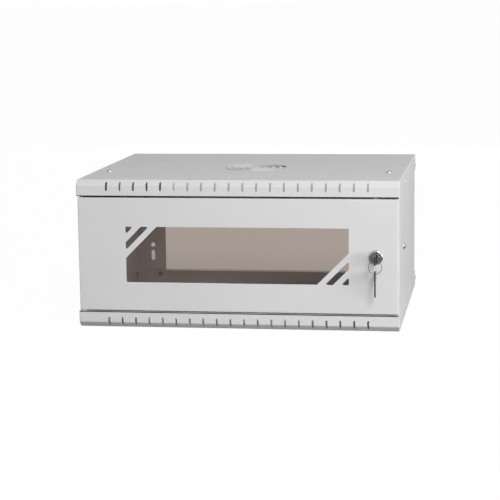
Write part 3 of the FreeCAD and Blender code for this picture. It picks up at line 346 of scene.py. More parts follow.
real_arcs = add_node(grille_tree, "GeometryNodeRealizeInstances", inputs={
    "Geometry": placed.outputs[0]})
grille_cut = add_node(grille_tree, "GeometryNodeMeshBoolean", {"operation": "DIFFERENCE"}, {
    "Mesh 1": given["Geometry"], "Mesh 2": real_arcs.outputs[0]})
end_tree(grille_tree, grille_cut.outputs["Mesh"], given["Finish"])

for name, node, level, up in (
    ("base", "bottom_tray", lambda rise: rise, (0, 0, -1)),
    ("lid", "top_cover", lambda rise: HEIGHT - rise, (0, 0, 1)),
):
    cover = tray(name, level, up)
    run_tree(
        cover, vent_tree, Number_of_slots=VENT_COUNT, Pitch=VENT_PITCH, Slot_width=VENT_WIDTH,
        Slot_length=VENT_LENGTH, Cut_depth=12 * MM, Front=-DEPTH / 2 - 2 * MM,
        Slot_height=level(VENT_MIDDLE), Finish=powder_coat,
    )
    if name == "lid":
        run_tree(
            cover, grille_tree, Number_of_rings=GRILLE_RINGS, First_radius=GRILLE_FIRST_RADIUS,
            Ring_pitch=GRILLE_PITCH, Slot_width=GRILLE_SLOT, Spoke=GRILLE_SPOKE, Cut_depth=6 * MM,
            Middle=GRILLE_BEHIND_FRONT - DEPTH / 2, Top=HEIGHT, Finish=powder_coat,
        )
    smooth(cover)
    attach(cover, "cabinet")
    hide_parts(node)

# Side panels and mounting rails
# Side panels are folded from 1.2 mm steel and coated like the lid. The rails are bare
# zinc-plated 1.5 mm steel with square holes. All are screwed to the lid and the base.
# Passivated zinc looks a dull bluish grey with a broad highlight, cloudy over some 9 mm.
# Its crystals are far finer than the 0.9 mm at which they are drawn so that they show.
zinc_plate, tree, shader = new_finish("zinc_plated_steel", "#A1A3A6", Metallic=1.0, Roughness=0.4)
place = mottle(tree, shader, "#979A9E", "#ABADB0", 9 * MM)
grain(tree, shader, place, 0.9 * MM, 0.004 * MM)


def dress(node, finish):
    """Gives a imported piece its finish."""
    nodes[node].data.materials.clear()
    nodes[node].data.materials.append(finish)


for hand in ("left", "right"):
    dress(hand + "_side_panel", powder_coat)
    dress(hand + "_mounting_rail", zinc_plate)

# Door
# A shallow tray of 1.2 mm steel with ground corners. The window is laser cut and
# leaves two bars across each of two opposite corners; the lock's hole has two flats.
DOOR_SIDE = 268 * MM
DOOR_LOW = 29.6 * MM
DOOR_HIGH = 220.4 * MM
DOOR_DEPTH = 15 * MM
FACE = -DEPTH / 2
WINDOW_SIDE = 187 * MM
WINDOW_LOW = 78 * MM
WINDOW_HIGH = 172 * MM
BAR_STEP = 13.25 * MM
WINDOW_CORNER = 1.8 * MM
LOCK_X = 231.5 * MM
LOCK_Z = 125 * MM
LOCK_HOLE = 9.55 * MM
LOCK_FLAT = 8.15 * MM
LOCK_HOLE_STEPS = 40


def rounded(corners, radius, steps=5):
    """An outline's points with each corner rounded."""
    points = []
    for number, corner in enumerate(corners):
        spot = Vector(corner)
        before = (Vector(corners[number - 1]) - spot).normalized()
        after = (Vector(corners[(number + 1) % len(corners)]) - spot).normalized()
        half_angle = before.angle(after) / 2
        middle = spot + (before + after).normalized() * radius / math.sin(half_angle)
        inwards = spot - middle
        sweep = math.pi / 2 - half_angle
        hand = 1 if before.x * after.y - before.y * after.x < 0 else -1
        arm = inwards.normalized() * radius
        for step in range(steps + 1):
            turn = hand * sweep * (2 * step / steps - 1)
            points.append(middle + Vector((
                arm.x * math.cos(turn) - arm.y * math.sin(turn),
                arm.x * math.sin(turn) + arm.y * math.cos(turn))))
    return points


def prisms(name, outlines, start, end):
    """Closed blocks from outlines in the XZ plane, between two depths."""
    form = bmesh.new()
    for outline in outlines:
        near = [form.verts.new((x, start, z)) for x, z in outline]
        far = [form.verts.new((x, end, z)) for x, z in outline]
        form.faces.new(near)
        form.faces.new(far)
        for number in range(len(outline)):
            form.faces.new([near[number - 1], near[number], far[number], far[number - 1]])
    bmesh.ops.recalc_face_normals(form, faces=form.faces)
    piece = new_piece(name)
    form.to_mesh(piece.data)
    form.free()
    return piece


def cut_out(piece, tool):
    """Cuts a tool's shape out of a piece and removes the tool."""
    cut = piece.modifiers.new("cut", "BOOLEAN")
    cut.operation = "DIFFERENCE"
    cut.solver = "EXACT"
    cut.object = tool
    keep_shape(piece)
    bpy.data.objects.remove(tool)


door_corners = {}
for side, across in (("l", -DOOR_SIDE), ("r", DOOR_SIDE)):
    for rise, height in (("low", DOOR_LOW), ("high", DOOR_HIGH)):
        door_corners[f"face_{rise}_{side}"] = (across, FACE, height)
        door_corners[f"back_{rise}_{side}"] = (across, FACE + DOOR_DEPTH, height)
around = ["low_l", "low_r", "high_r", "high_l"]
door_panels = [["face_" + key for key in around]]
for number, here in enumerate(around):
    before = around[number - 1]
    door_panels.append(["face_" + before, "face_" + here, "back_" + here, "back_" + before])
door = thicken(folded_sheet("door", door_corners, door_panels, FOLD_RADIUS, (0, -1, 0)), SHEET)
openings = [[
    (-WINDOW_SIDE, WINDOW_LOW),
    (WINDOW_SIDE - 4 * BAR_STEP, WINDOW_LOW),
    (WINDOW_SIDE, WINDOW_LOW + 4 * BAR_STEP),
    (WINDOW_SIDE, WINDOW_HIGH),
    (4 * BAR_STEP - WINDOW_SIDE, WINDOW_HIGH),
    (-WINDOW_SIDE, WINDOW_HIGH - 4 * BAR_STEP),
]]
for x, z, inwards in ((-WINDOW_SIDE, WINDOW_HIGH, 1), (WINDOW_SIDE, WINDOW_LOW, -1)):
    step = BAR_STEP * inwards
    openings.append([(x, z), (x + step, z), (x, z - step)])
    openings.append([(x + 2 * step, z), (x + 3 * step, z), (x, z - 3 * step), (x, z - 2 * step)])
window = [rounded(outline, WINDOW_CORNER) for outline in openings]
lock_hole = []
for number in range(LOCK_HOLE_STEPS):
    turn = math.tau * (number + 0.5) / LOCK_HOLE_STEPS
    across = max(-LOCK_FLAT, min(LOCK_FLAT, LOCK_HOLE * math.cos(turn)))
    lock_hole.append((LOCK_X + across, LOCK_Z + LOCK_HOLE * math.sin(turn)))
window.append(lock_hole)
keep_shape(door)
cut_out(door, prisms("window_cut", window, FACE - 3 * MM, FACE + 3 * MM))
door.data.materials.clear()
door.data.materials.append(powder_coat)
smooth(door)
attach(door, "door")
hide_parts("door_panel")

# Window pane and tape
# Bronze-tinted float glass, 4 mm thick, held behind the door by black foam tape. The
# tint makes what is behind the pane look darker and warmer.
smoked_glass, tree, shader = new_finish(
    "bronze_tinted_glass", "#E8D7CD", Roughness=0.0, IOR=1.52, Transmission_Weight=1.0)
pane = shader.outputs["BSDF"]
# The lamps' light passes straight through the pane, so that what is behind it is lit.
clear = add_node(tree, "ShaderNodeBsdfTransparent", inputs={"Color": linear("#F4F0EE")})
ray = add_node(tree, "ShaderNodeLightPath")
lit_through = add_node(tree, "ShaderNodeMixShader", inputs={
    0: ray.outputs["Is Shadow Ray"], 1: pane, 2: clear.outputs[0]})
tree.links.new(lit_through.outputs[0], tree.nodes["Material Output"].inputs["Surface"])
dress("door_glass", smoked_glass)
# Foam is matt and all but black, with open cells of about half a millimetre. It draws a
# thin dark line around the window.
foam, tree, shader = new_finish("black_foam_tape", "#1E1E20", Roughness=0.95, IOR=1.45)
place = mottle(tree, shader, "#19191B", "#252527", 2 * MM)
grain(tree, shader, place, 0.5 * MM, 0.1 * MM)
dress("glazing_tape", foam)

# Hinge
# A headed pin below in a nylon washer, and a sprung pin above, bent from 5 mm rod as a
# finger bar. The pin slides in a steel bracket; a coil spring and a collar hold it up.
HINGE_X = -262.3 * MM
HINGE_Y = -217.5 * MM
ROD = 5 * MM
BEND = 2.6 * MM
PIN_TOP = 226.6 * MM
FINGER_BAR = 187.6 * MM
FINGER_REACH = 20 * MM
BEND_STEPS = 8
SPRING_FOOT = 191.9 * MM
SPRING_RADIUS = 3.5 * MM
SPRING_RISE = 12.9 * MM
SPRING_WIRE = 0.8 * MM


def eased(node, name, finish, edge):
    """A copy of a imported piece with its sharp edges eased, as tumbling leaves them."""
    form = bmesh.new()
    form.from_mesh(nodes[node].data)
    bmesh.ops.remove_doubles(form, verts=form.verts, dist=0.001 * MM)
    bmesh.ops.dissolve_limit(form, angle_limit=math.radians(1), verts=form.verts, edges=form.edges)
    piece = new_piece(name)
    form.to_mesh(piece.data)
    form.free()
    piece.data.materials.append(finish)
    ease = piece.modifiers.new("ease", "BEVEL")
    ease.width = edge
    ease.segments = 2
    ease.angle_limit = math.radians(40)
    keep_shape(piece)
    smooth(piece)
    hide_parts(node)
    return piece


# Drawn spring wire is a clean grey metal with a narrow highlight along each turn.
spring_steel, tree, shader = new_finish("spring_steel", "#9B9DA1", Metallic=1.0, Roughness=0.3)
mottle(tree, shader, "#8F9195", "#A7A9AD", 3 * MM)
# Moulded nylon is a milky white with a dull shine. Its skin's texture is finer than the
# 0.6 mm at which it is drawn so that it shows.
nylon, tree, shader = new_finish("white_nylon", "#E6E5DF", Roughness=0.45, IOR=1.53, Subsurface_Weight=0.1)
place = mottle(tree, shader, "#E3E2DB", "#E9E8E3", 4 * MM)
grain(tree, shader, place, 0.6 * MM, 0.01 * MM)

# A drawn wire's tree: any line becomes round wire with closed ends.
wire_tree, given = new_tree("drawn_wire", ["Wire"])
wire_half = add_node(wire_tree, "ShaderNodeMath", {"operation": "MULTIPLY"}, {
    0: given["Wire"], 1: 0.5})
wire_round = add_node(wire_tree, "GeometryNodeCurvePrimitiveCircle", inputs={
    "Resolution": 16, "Radius": wire_half.outputs[0]})
wire_line = add_node(wire_tree, "GeometryNodeMeshToCurve", inputs={"Mesh": given["Geometry"]})
wire_body = add_node(wire_tree, "GeometryNodeCurveToMesh", inputs={
    "Curve": wire_line.outputs[0], "Profile Curve": wire_round.outputs[0], "Fill Caps": True})
end_tree(wire_tree, wire_body.outputs[0], given["Finish"])


def line_piece(name, points):
    """A piece that holds a single line of points."""
    piece = new_piece(name)
    piece.data.from_pydata(points, [(n, n + 1) for n in range(len(points) - 1)], [])
    return piece


bend_points = [
    (HINGE_X + BEND * (1 - math.cos(turn)), HINGE_Y, FINGER_BAR + BEND * (1 - math.sin(turn)))
    for turn in (math.pi / 2 * number / BEND_STEPS for number in range(BEND_STEPS + 1))
]
upper_pin = line_piece("upper_hinge_pin_rod", [
    (HINGE_X, HINGE_Y, PIN_TOP), *bend_points, (HINGE_X + FINGER_REACH, HINGE_Y, FINGER_BAR)])
run_tree(upper_pin, wire_tree, Wire=ROD, Finish=zinc_plate)
smooth(upper_pin)
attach(upper_pin, "hinge_pin")
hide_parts("upper_hinge_pin")

# A coil's tree: a helix of round wire, for the spring and for the split ring.
coil_tree, given = new_tree("wound_wire", ["Number of turns", "Middle radius", "Rise", "Wire"])
helix = add_node(coil_tree, "GeometryNodeCurveSpiral", inputs={
    "Resolution": 36, "Rotations": given["Number of turns"], "Start Radius": given["Middle radius"],
    "End Radius": given["Middle radius"], "Height": given["Rise"]})
wire_half = add_node(coil_tree, "ShaderNodeMath", {"operation": "MULTIPLY"}, {
    0: given["Wire"], 1: 0.5})
wire_round = add_node(coil_tree, "GeometryNodeCurvePrimitiveCircle", inputs={
    "Resolution": 10, "Radius": wire_half.outputs[0]})
coil_body = add_node(coil_tree, "GeometryNodeCurveToMesh", inputs={
    "Curve": helix.outputs[0], "Profile Curve": wire_round.outputs[0], "Fill Caps": True})
end_tree(coil_tree, coil_body.outputs[0], given["Finish"])

spring = run_tree(
    new_piece("upper_pin_spring"), coil_tree, Number_of_turns=4, Middle_radius=SPRING_RADIUS,
    Rise=SPRING_RISE, Wire=SPRING_WIRE, Finish=spring_steel,
)
spring.data.transform(Matrix.Translation((HINGE_X, HINGE_Y, SPRING_FOOT + 0.55 * MM)))
smooth(spring, 60)
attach(spring, "door")
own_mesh(spring)
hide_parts("pin_spring")

for node, name, finish, edge, body, slot_name in (
    ("lower_hinge_pin", "lower_hinge_pin_turned", zinc_plate, 0.4 * MM, "door", "zinc_plate"),
    ("upper_hinge_bracket", "upper_hinge_bracket_folded", powder_coat, 0.3 * MM, "door", "powder_coat"),
    ("pin_collar", "pin_collar_turned", zinc_plate, 0.25 * MM, "hinge_pin", "zinc_plate"),
    ("hinge_washer", "hinge_washer_moulded", nylon, 0.25 * MM, "cabinet", "white_nylon"),
):
    piece = eased(node, name, finish, edge)
    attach(piece, body)

# Cam lock
# A zinc casting with bright chrome plate: round face, threaded barrel with two flats,
# turning plug with a keyway. A hexagon nut clamps it, and a screw holds the steel cam.
# Chrome over a polished casting is nearly a mirror: bright where it faces the light
# and dark where it faces the room.
# Its colour is set a little darker and warmer than bare chrome: painted shade for the dark floor that the
# face mirrors.
chrome, tree, shader = new_finish("chrome_plate", "#B2AFAC", Metallic=1.0, Roughness=0.1)
mottle(tree, shader, "#ABA8A5", "#B9B6B3", 6 * MM)
LOCK_FRONT = -228 * MM
BARREL_BACK = -205.8 * MM
PLUG_HOLE = 6.05 * MM
BARREL_RADIUS = 9.4 * MM
BARREL_FLAT = 8 * MM
FACE_RADIUS = 11.8 * MM
FACE_THICK = 3 * MM
GROOVE_DEPTH = 0.5 * MM


def turned(name, outline, middle, steps=48):
    """A turned piece about a line along Y: pairs of radius and depth, closed in a ring."""
    form = bmesh.new()
    turns = [math.tau * n / steps for n in range(steps)]
    rings = []
    for radius, depth in outline:
        rings.append([
            form.verts.new((
                middle[0] + radius * math.cos(turn), depth, middle[1] + radius * math.sin(turn)))
            for turn in turns
        ])
    for here, there in zip(rings, rings[1:] + rings[:1]):
        for n in range(steps):
            form.faces.new([here[n - 1], here[n], there[n], there[n - 1]])
    bmesh.ops.recalc_face_normals(form, faces=form.faces)
    piece = new_piece(name)
    form.to_mesh(piece.data)
    form.free()
    return piece


# From the plug's hole over the face, with its turned groove, to the barrel.
lock = turned("lock_casting", [
    (PLUG_HOLE, BARREL_BACK),
    (PLUG_HOLE, LOCK_FRONT + 0.5 * MM),
    (6.5 * MM, LOCK_FRONT),
    (7.7 * MM, LOCK_FRONT),
    (8.1 * MM, LOCK_FRONT + GROOVE_DEPTH),
    (8.8 * MM, LOCK_FRONT + GROOVE_DEPTH),
    (9.2 * MM, LOCK_FRONT),
    (9.8 * MM, LOCK_FRONT),
    (10.8 * MM, LOCK_FRONT + 0.4 * MM),
    (11.5 * MM, LOCK_FRONT + 1.1 * MM),
    (FACE_RADIUS, LOCK_FRONT + 2 * MM),
    (FACE_RADIUS, LOCK_FRONT + FACE_THICK),
    (BARREL_RADIUS, LOCK_FRONT + FACE_THICK),
    (BARREL_RADIUS, BARREL_BACK),
], (LOCK_X, LOCK_Z))
# The barrel's two flats keep it from turning in the door.
for corner in lock.data.vertices:
    from_middle = math.hypot(corner.co.x - LOCK_X, corner.co.z - LOCK_Z)
    if corner.co.y > LOCK_FRONT + 2.5 * MM and from_middle < 10 * MM:
        corner.co.x = LOCK_X + max(-BARREL_FLAT, min(BARREL_FLAT, corner.co.x - LOCK_X))
lock.data.materials.append(chrome)
smooth(lock)
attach(lock, "door")
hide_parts("lock_body")
for node, name, finish, edge, body, slot_name in (
    ("lock_nut", "lock_nut_hexagon", zinc_plate, 0.5 * MM, "door", "zinc_plate"),
    ("lock_plug", "lock_plug_turned", chrome, 0.3 * MM, "lock_plug", "chrome_plate"),
    ("lock_cam", "lock_cam_stamped", zinc_plate, 0.25 * MM, "lock_plug", "zinc_plate"),
):
    piece = eased(node, name, finish, edge)
    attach(piece, body)

# Keys and split ring
# Two flat keys stamped from nickel silver and nickel plated, one in the lock and one
# on the ring. The ring is two turns of nickel-plated spring wire.
RING_RADIUS = 11 * MM
RING_WIRE = 0.9 * MM
RING_FRONT = -244 * MM
RING_MIDDLE = 111.34 * MM
# Nickel plate with a blurred highlight. Its colour is darkened to a warm, rather dark grey: painted shade
# for the dark floor that the keys mirror. The stamped face's texture is drawn at 0.5 mm, which is coarser
# than it is, so that it shows.
nickel, tree, shader = new_finish("nickel_plate", "#5B5651", Metallic=1.0, Roughness=0.3)
place = mottle(tree, shader, "#534E4A", "#635E59", 5 * MM)
grain(tree, shader, place, 0.5 * MM, 0.003 * MM)
for node, name, body in (
    ("key_in_lock", "key_in_lock_stamped", "key"),
    ("spare_key", "spare_key_stamped", "spare_key"),
):
    piece = eased(node, name, nickel, 0.25 * MM)
    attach(piece, body)
ring = run_tree(
    new_piece("split_ring"), coil_tree, Number_of_turns=2, Middle_radius=RING_RADIUS,
    Rise=RING_WIRE, Wire=RING_WIRE, Finish=nickel,
)
ring_spot = Matrix.Translation((LOCK_X, RING_FRONT + RING_WIRE / 2, RING_MIDDLE))
ring.data.transform(ring_spot @ Matrix.Rotation(math.pi / 2, 4, "X"))
smooth(ring, 60)
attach(ring, "key_ring")
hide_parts("key_ring")

# Screws, nuts and buffer
# Domed screws with a cross recess: zinc plated in the rails and sides, coated like the
# covers in their flanges. The nuts are zinc-plated hexagons, the buffer clear rubber.
SIDES = (-1, 1)
LARGE_HEAD = {"Head_diameter": 11 * MM, "Head_height": 3.6 * MM, "Shank_diameter": 5 * MM}
RAIL_SCREW_X = 243.3 * MM
RAIL_SCREW_Y = -93 * MM
RAIL_TAB_TOP = 2.7 * MM
SIDE_SCREW = (268.7 * MM, -99 * MM, 125 * MM)
FLANGE_SCREW_X = 270 * MM
FLANGE_SCREW_YS = (-78 * MM, 209 * MM)
FLANGE_SCREW_ZS = (18 * MM, 232 * MM)
CORNER_SCREW_X = 223.5 * MM
CORNER_SCREW_Y = 222.5 * MM
CORNER_SCREW_ZS = (16 * MM, 234 * MM)
CAM_SCREW_Y = -203.5 * MM
# A head narrows in a curve to a flat top, two fifths of its width; the cross's arms are
# shares of the head's diameter.
DOME_FULL = 0.93
DOME_POWER = 2.4
CROSS_LONG = 0.52
CROSS_THIN = 0.12
# Powder on the heads looks slightly darker than on the sheet, so they show faintly.
coated_screw, tree, shader = new_finish("powder_coated_screw", "#BFBFC0", Roughness=0.6, IOR=1.5)
mottle(tree, shader, "#B9B9BA", "#C5C5C6", 2 * MM)
# Clear moulded rubber looks pale and half see-through, with a soft shine.
rubber, tree, shader = new_finish(
    "clear_rubber", "#DADCDD", Roughness=0.35, IOR=1.41, Transmission_Weight=0.5)
mottle(tree, shader, "#D5D7D8", "#DFE1E2", 3 * MM)

# The screws' tree: a domed head with a cross and a shank, set on points that face outwards.
screw_tree, given = new_tree("domed_screws", [
    "Head diameter", "Head height", "Shank diameter", "Shank length"])
blank = add_node(screw_tree, "GeometryNodeMeshCylinder", inputs={
    "Vertices": 20, "Side Segments": 4, "Fill Segments": 1, "Radius": 1.0, "Depth": 1.0})
spot = add_node(screw_tree, "GeometryNodeInputPosition")
parts = add_node(screw_tree, "ShaderNodeSeparateXYZ", inputs={0: spot.outputs[0]})
rise = add_node(screw_tree, "ShaderNodeMath", {"operation": "ADD"}, {0: parts.outputs["Z"], 1: 0.5})
share = add_node(screw_tree, "ShaderNodeMath", {"operation": "MULTIPLY"}, {
    0: rise.outputs[0], 1: DOME_FULL})
raised_share = add_node(screw_tree, "ShaderNodeMath", {"operation": "POWER"}, {
    0: share.outputs[0], 1: DOME_POWER})
rest = add_node(screw_tree, "ShaderNodeMath", {"operation": "SUBTRACT"}, {
    0: 1.0, 1: raised_share.outputs[0]})
dome = add_node(screw_tree, "ShaderNodeMath", {"operation": "SQRT"}, {0: rest.outputs[0]})
head_half = add_node(screw_tree, "ShaderNodeMath", {"operation": "MULTIPLY"}, {
    0: given["Head diameter"], 1: 0.5})
reach = add_node(screw_tree, "ShaderNodeMath", {"operation": "MULTIPLY"}, {
    0: dome.outputs[0], 1: head_half.outputs[0]})
across = add_node(screw_tree, "ShaderNodeMath", {"operation": "MULTIPLY"}, {
    0: parts.outputs["X"], 1: reach.outputs[0]})
along = add_node(screw_tree, "ShaderNodeMath", {"operation": "MULTIPLY"}, {
    0: parts.outputs["Y"], 1: reach.outputs[0]})
height = add_node(screw_tree, "ShaderNodeMath", {"operation": "MULTIPLY"}, {
    0: rise.outputs[0], 1: given["Head height"]})
domed_spot = add_node(screw_tree, "ShaderNodeCombineXYZ", inputs={
    "X": across.outputs[0], "Y": along.outputs[0], "Z": height.outputs[0]})
head = add_node(screw_tree, "GeometryNodeSetPosition", inputs={
    "Geometry": blank.outputs["Mesh"], "Position": domed_spot.outputs[0]})
arm_long = add_node(screw_tree, "ShaderNodeMath", {"operation": "MULTIPLY"}, {
    0: given["Head diameter"], 1: CROSS_LONG})
arm_thin = add_node(screw_tree, "ShaderNodeMath", {"operation": "MULTIPLY"}, {
    0: given["Head diameter"], 1: CROSS_THIN})
arms = []
for first, second in ((arm_long, arm_thin), (arm_thin, arm_long)):
    arm_size = add_node(screw_tree, "ShaderNodeCombineXYZ", inputs={
        "X": first.outputs[0], "Y": second.outputs[0], "Z": given["Head height"]})
    arms.append(add_node(screw_tree, "GeometryNodeMeshCube", inputs={"Size": arm_size.outputs[0]}))
cross_spot = add_node(screw_tree, "ShaderNodeCombineXYZ", inputs={"Z": given["Head height"]})
crossed = add_node(
    screw_tree, "GeometryNodeMeshBoolean", {"operation": "DIFFERENCE", "solver": "MANIFOLD"},
    {"Mesh 1": head.outputs["Geometry"]})
for arm in arms:
    raised = add_node(screw_tree, "GeometryNodeTransform", inputs={
        "Geometry": arm.outputs["Mesh"], "Translation": cross_spot.outputs[0]})
    screw_tree.links.new(raised.outputs[0], crossed.inputs["Mesh 2"])
shank_half = add_node(screw_tree, "ShaderNodeMath", {"operation": "MULTIPLY"}, {
    0: given["Shank diameter"], 1: 0.5})
shank_down = add_node(screw_tree, "ShaderNodeMath", {"operation": "MULTIPLY"}, {
    0: given["Shank length"], 1: -0.5})
shank = add_node(screw_tree, "GeometryNodeMeshCylinder", inputs={
    "Vertices": 12, "Radius": shank_half.outputs[0], "Depth": given["Shank length"]})
shank_spot = add_node(screw_tree, "ShaderNodeCombineXYZ", inputs={"Z": shank_down.outputs[0]})
shank_set = add_node(screw_tree, "GeometryNodeTransform", inputs={
    "Geometry": shank.outputs["Mesh"], "Translation": shank_spot.outputs[0]})
screw = add_node(screw_tree, "GeometryNodeJoinGeometry", inputs={"Geometry": crossed.outputs["Mesh"]})
screw_tree.links.new(shank_set.outputs[0], screw.inputs["Geometry"])
facing = add_node(
    screw_tree, "GeometryNodeInputNamedAttribute", {"data_type": "FLOAT_VECTOR"}, {"Name": "facing"})
turn = add_node(
    screw_tree, "FunctionNodeAlignRotationToVector", {"axis": "Z"}, {"Vector": facing.outputs[0]})
screws = add_node(screw_tree, "GeometryNodeInstanceOnPoints", inputs={
    "Points": given["Geometry"], "Instance": screw.outputs[0], "Rotation": turn.outputs[0]})
end_tree(screw_tree, screws.outputs[0], given["Finish"])


def screw_set(name, node, spots, body, finish, slot_name, **sizes):
    """One set of like screws: each spot is the head's seat and the way that it faces."""
    piece = new_piece(name)
    piece.data.from_pydata([place for place, way in spots], [], [])
    ways = piece.data.attributes.new("facing", "FLOAT_VECTOR", "POINT")
    ways.data.foreach_set("vector", [part for place, way in spots for part in way])
    run_tree(piece, screw_tree, Finish=finish, **sizes)
    smooth(piece)
    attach(piece, body)
    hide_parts(node)


screw_set(
    "lid_rail_screws", "top_rail_screws",
    [((hand * RAIL_SCREW_X, RAIL_SCREW_Y, HEIGHT), (0, 0, 1)) for hand in SIDES],
    "cabinet", zinc_plate, "zinc_plate", Shank_length=9 * MM, **LARGE_HEAD,
)
screw_set(
    "base_rail_screws", "bottom_rail_screws",
    [((hand * RAIL_SCREW_X, RAIL_SCREW_Y, RAIL_TAB_TOP), (0, 0, 1)) for hand in SIDES],
    "cabinet", zinc_plate, "zinc_plate", Shank_length=2.6 * MM, **LARGE_HEAD,
)
screw_set(
    "side_screws", "side_panel_screws",
    [((hand * SIDE_SCREW[0], SIDE_SCREW[1], SIDE_SCREW[2]), (hand, 0, 0)) for hand in SIDES],
    "cabinet", zinc_plate, "zinc_plate", Shank_length=9 * MM, **LARGE_HEAD,
)
screw_set(
    "flange_screws", "cover_flange_screws",
    [
        ((hand * FLANGE_SCREW_X, y, z), (hand, 0, 0))
        for hand in SIDES for y in FLANGE_SCREW_YS for z in FLANGE_SCREW_ZS
    ],
    "cabinet", coated_screw, "dark_screw",
    Head_diameter=7.5 * MM, Head_height=2.4 * MM, Shank_diameter=4 * MM, Shank_length=7 * MM,
)
screw_set(
    "corner_screws", "rear_corner_screws",
    [
        ((hand * CORNER_SCREW_X, CORNER_SCREW_Y, z), (0, -1, 0))
        for hand in SIDES for z in CORNER_SCREW_ZS
    ],
    "cabinet", zinc_plate, "zinc_plate",
    Head_diameter=9 * MM, Head_height=3 * MM, Shank_diameter=4 * MM, Shank_length=2.4 * MM,
)
screw_set(
    "cam_screw_domed", "cam_screw",
    [((LOCK_X, CAM_SCREW_Y, LOCK_Z), (0, 1, 0))],
    "lock_plug", zinc_plate, "zinc_plate",
    Head_diameter=7.5 * MM, Head_height=2 * MM, Shank_diameter=4 * MM, Shank_length=6 * MM,
)
for node, name, finish, edge, slot_name in (
    ("top_rail_nuts", "lid_rail_nuts", zinc_plate, 0.6 * MM, "zinc_plate"),
    ("side_panel_nuts", "side_nuts", zinc_plate, 0.6 * MM, "zinc_plate"),
    ("cover_flange_nuts", "flange_nuts", zinc_plate, 0.4 * MM, "zinc_plate"),
    ("door_buffer", "door_buffer_moulded", rubber, 0.5 * MM, "clear_rubber"),
):
    piece = eased(node, name, finish, edge)
    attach(piece, "cabinet")

# Studio
# A pale floor that keeps the object's faint shadow, a white surround, and four soft
# lamps: above the camera, in front, on the right and low behind.
FLOOR_HALF = 60
FLOOR_DROP = 0.5 * MM
FLOOR_GLOW = 1.06
GLOW_SHARE = 0.92
# Floor and surround are dimmer through the pane than beside it, as in the photograph.
FLOOR_THROUGH_PANE = 0.37
SURROUND_THROUGH_PANE = 0.25
ROOM_LIGHT = 0.28
# That shade is a painted shadow: the floor glows less in a patch laid out by place, not where a lamp is
# blocked.
# The floor behind the cabinet is shaded, as the photograph shows it through the vents.
# The patch lies between two lines of sight from the camera's place, in metres across
# for each metre away, and two distances along Y. Each pair is where a soft edge starts
# and where the shade is full.
SHADE = 0.88
SIGHT_FROM = (0.448, -2.942)
SIGHT_LEFT = (-0.264, -0.19)
SIGHT_RIGHT = (-0.056, -0.09)
SHADE_NEAR = (-0.1, 0.3)
SHADE_FAR = (2.72, 1.5)
floor = new_piece("floor")
form = bmesh.new()
bmesh.ops.create_grid(form, x_segments=1, y_segments=1, size=FLOOR_HALF)
bmesh.ops.translate(form, verts=form.verts, vec=(0, 0, -FLOOR_DROP))
form.to_mesh(floor.data)
form.free()
pale_floor = bpy.data.materials.new("pale_floor")
pale_floor.use_nodes = True
tree = pale_floor.node_tree
tree.nodes.clear()
paint = add_node(tree, "ShaderNodeBsdfDiffuse", inputs={"Color": linear("#A0A0A0")})
glow = add_node(tree, "ShaderNodeEmission", inputs={"Color": (1, 1, 1, 1), "Strength": FLOOR_GLOW})
ray = add_node(tree, "ShaderNodeLightPath")
place = add_node(tree, "ShaderNodeTexCoord")
spot = add_node(tree, "ShaderNodeSeparateXYZ", inputs={0: place.outputs["Object"]})
across = add_node(tree, "ShaderNodeMath", {"operation": "SUBTRACT"}, {
    0: spot.outputs["X"], 1: SIGHT_FROM[0]})
away = add_node(tree, "ShaderNodeMath", {"operation": "SUBTRACT"}, {
    0: spot.outputs["Y"], 1: SIGHT_FROM[1]})
sight = add_node(tree, "ShaderNodeMath", {"operation": "DIVIDE"}, {
    0: across.outputs[0], 1: away.outputs[0]})
shade = add_node(tree, "ShaderNodeValue")
shade.outputs[0].default_value = 1.0
for value, (start, full) in (
    (sight.outputs[0], SIGHT_LEFT), (sight.outputs[0], SIGHT_RIGHT),
    (spot.outputs["Y"], SHADE_NEAR), (spot.outputs["Y"], SHADE_FAR),
):
    edge = add_node(tree, "ShaderNodeMapRange", {"interpolation_type": "SMOOTHSTEP"}, {
        "Value": value, "From Min": start, "From Max": full})
    shade = add_node(tree, "ShaderNodeMath", {"operation": "MULTIPLY"}, {
        0: shade.outputs[0], 1: edge.outputs[0]})
bare = add_node(tree, "ShaderNodeMath", {"operation": "MULTIPLY_ADD"}, {
    0: shade.outputs[0], 1: -SHADE, 2: 1.0})
open_floor = add_node(tree, "ShaderNodeMath", {"operation": "MULTIPLY"}, {
    0: ray.outputs["Is Camera Ray"], 1: bare.outputs[0]})
floor_seen = add_node(tree, "ShaderNodeMath", {"operation": "MULTIPLY_ADD"}, {
    0: ray.outputs["Is Transmission Ray"], 1: FLOOR_THROUGH_PANE, 2: open_floor.outputs[0]})
glow_share = add_node(tree, "ShaderNodeMath", {"operation": "MULTIPLY"}, {
    0: floor_seen.outputs[0], 1: GLOW_SHARE})
look = add_node(tree, "ShaderNodeMixShader", inputs={
    0: glow_share.outputs[0], 1: paint.outputs[0], 2: glow.outputs[0]})
add_node(tree, "ShaderNodeOutputMaterial", inputs={"Surface": look.outputs[0]})
floor.data.materials.append(pale_floor)

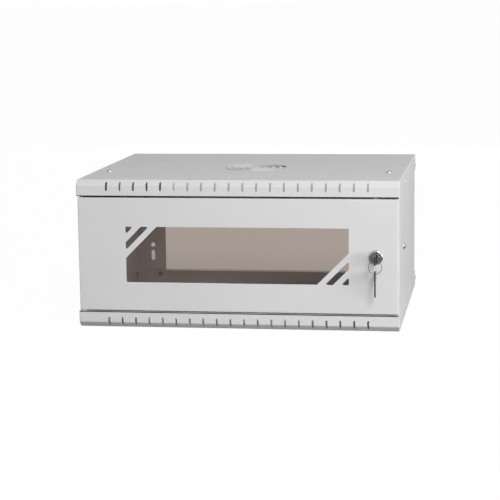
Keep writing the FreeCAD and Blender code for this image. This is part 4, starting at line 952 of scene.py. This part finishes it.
surround = bpy.data.worlds.new("white_surround")
bpy.context.scene.world = surround
surround.use_nodes = True
tree = surround.node_tree
tree.nodes.clear()
ray = add_node(tree, "ShaderNodeLightPath")
in_sight = add_node(tree, "ShaderNodeMath", {"operation": "MAXIMUM"}, {
    0: ray.outputs["Is Camera Ray"], 1: ray.outputs["Is Glossy Ray"]})
surround_seen = add_node(tree, "ShaderNodeMath", {"operation": "MULTIPLY_ADD"}, {
    0: ray.outputs["Is Transmission Ray"], 1: SURROUND_THROUGH_PANE, 2: in_sight.outputs[0]})
strength = add_node(tree, "ShaderNodeMapRange", inputs={
    "Value": surround_seen.outputs[0], "To Min": ROOM_LIGHT, "To Max": 1.0})
sky = add_node(tree, "ShaderNodeBackground", inputs={
    "Color": (1, 1, 1, 1), "Strength": strength.outputs[0]})
add_node(tree, "ShaderNodeOutputWorld", inputs={"Surface": sky.outputs[0]})

# Each lamp's place and the point it is aimed at, its width and height, and its watts.
for name, place, aim, size, watts in (
    ("key_lamp", (1.3, -2.5, 2.1), (0, 0, 0.12), (1.4, 1.2), 62),
    ("front_lamp", (1.3, -3.1, 1.1), (0, 0, 0.12), (1.4, 1.2), 13),
    ("right_lamp", (2.9, -1.6, 0.6), (0.2, 0, 0.12), (1.4, 1.0), 46),
    ("rear_lamp", (0.0, 3.0, 0.2), (0, 0, 0.12), (1.8, 0.4), 12),
):
    lamp = bpy.data.lights.new(name, "AREA")
    lamp.shape = "RECTANGLE"
    lamp.size, lamp.size_y = size
    lamp.energy = watts
    holder = bpy.data.objects.new(name, lamp)
    bpy.context.scene.collection.objects.link(holder)
    facing = (Vector(aim) - Vector(place)).to_track_quat("-Z", "Y")
    holder.matrix_world = Matrix.Translation(place) @ facing.to_matrix().to_4x4()

# Camera
# It stands where the photograph was taken from, and looks slightly down from the right.
CAMERA_PLACE = (0.4483, -2.9419, 0.5634)
YAW, PITCH, ROLL = 0.1552, -0.1546, 0.0129
SENSOR_WIDTH = 36
FOCAL_LENGTH = 121.21
NEAREST = 0.05
lens = bpy.data.cameras.new("camera")
lens.sensor_width = SENSOR_WIDTH
lens.lens = FOCAL_LENGTH
lens.clip_start = NEAREST
camera = bpy.data.objects.new("camera", lens)
bpy.context.scene.collection.objects.link(camera)
stance = Matrix.Rotation(YAW, 3, "Z") @ Matrix.Rotation(PITCH, 3, "X") @ Matrix.Rotation(ROLL, 3, "Y")
right, forward, up = (stance @ Vector(axis) for axis in ((1, 0, 0), (0, 1, 0), (0, 0, 1)))
view = Matrix((right, up, -forward)).transposed().to_4x4()
camera.matrix_world = Matrix.Translation(CAMERA_PLACE) @ view
bpy.context.scene.camera = camera
bpy.context.scene.view_settings.view_transform = "Standard"
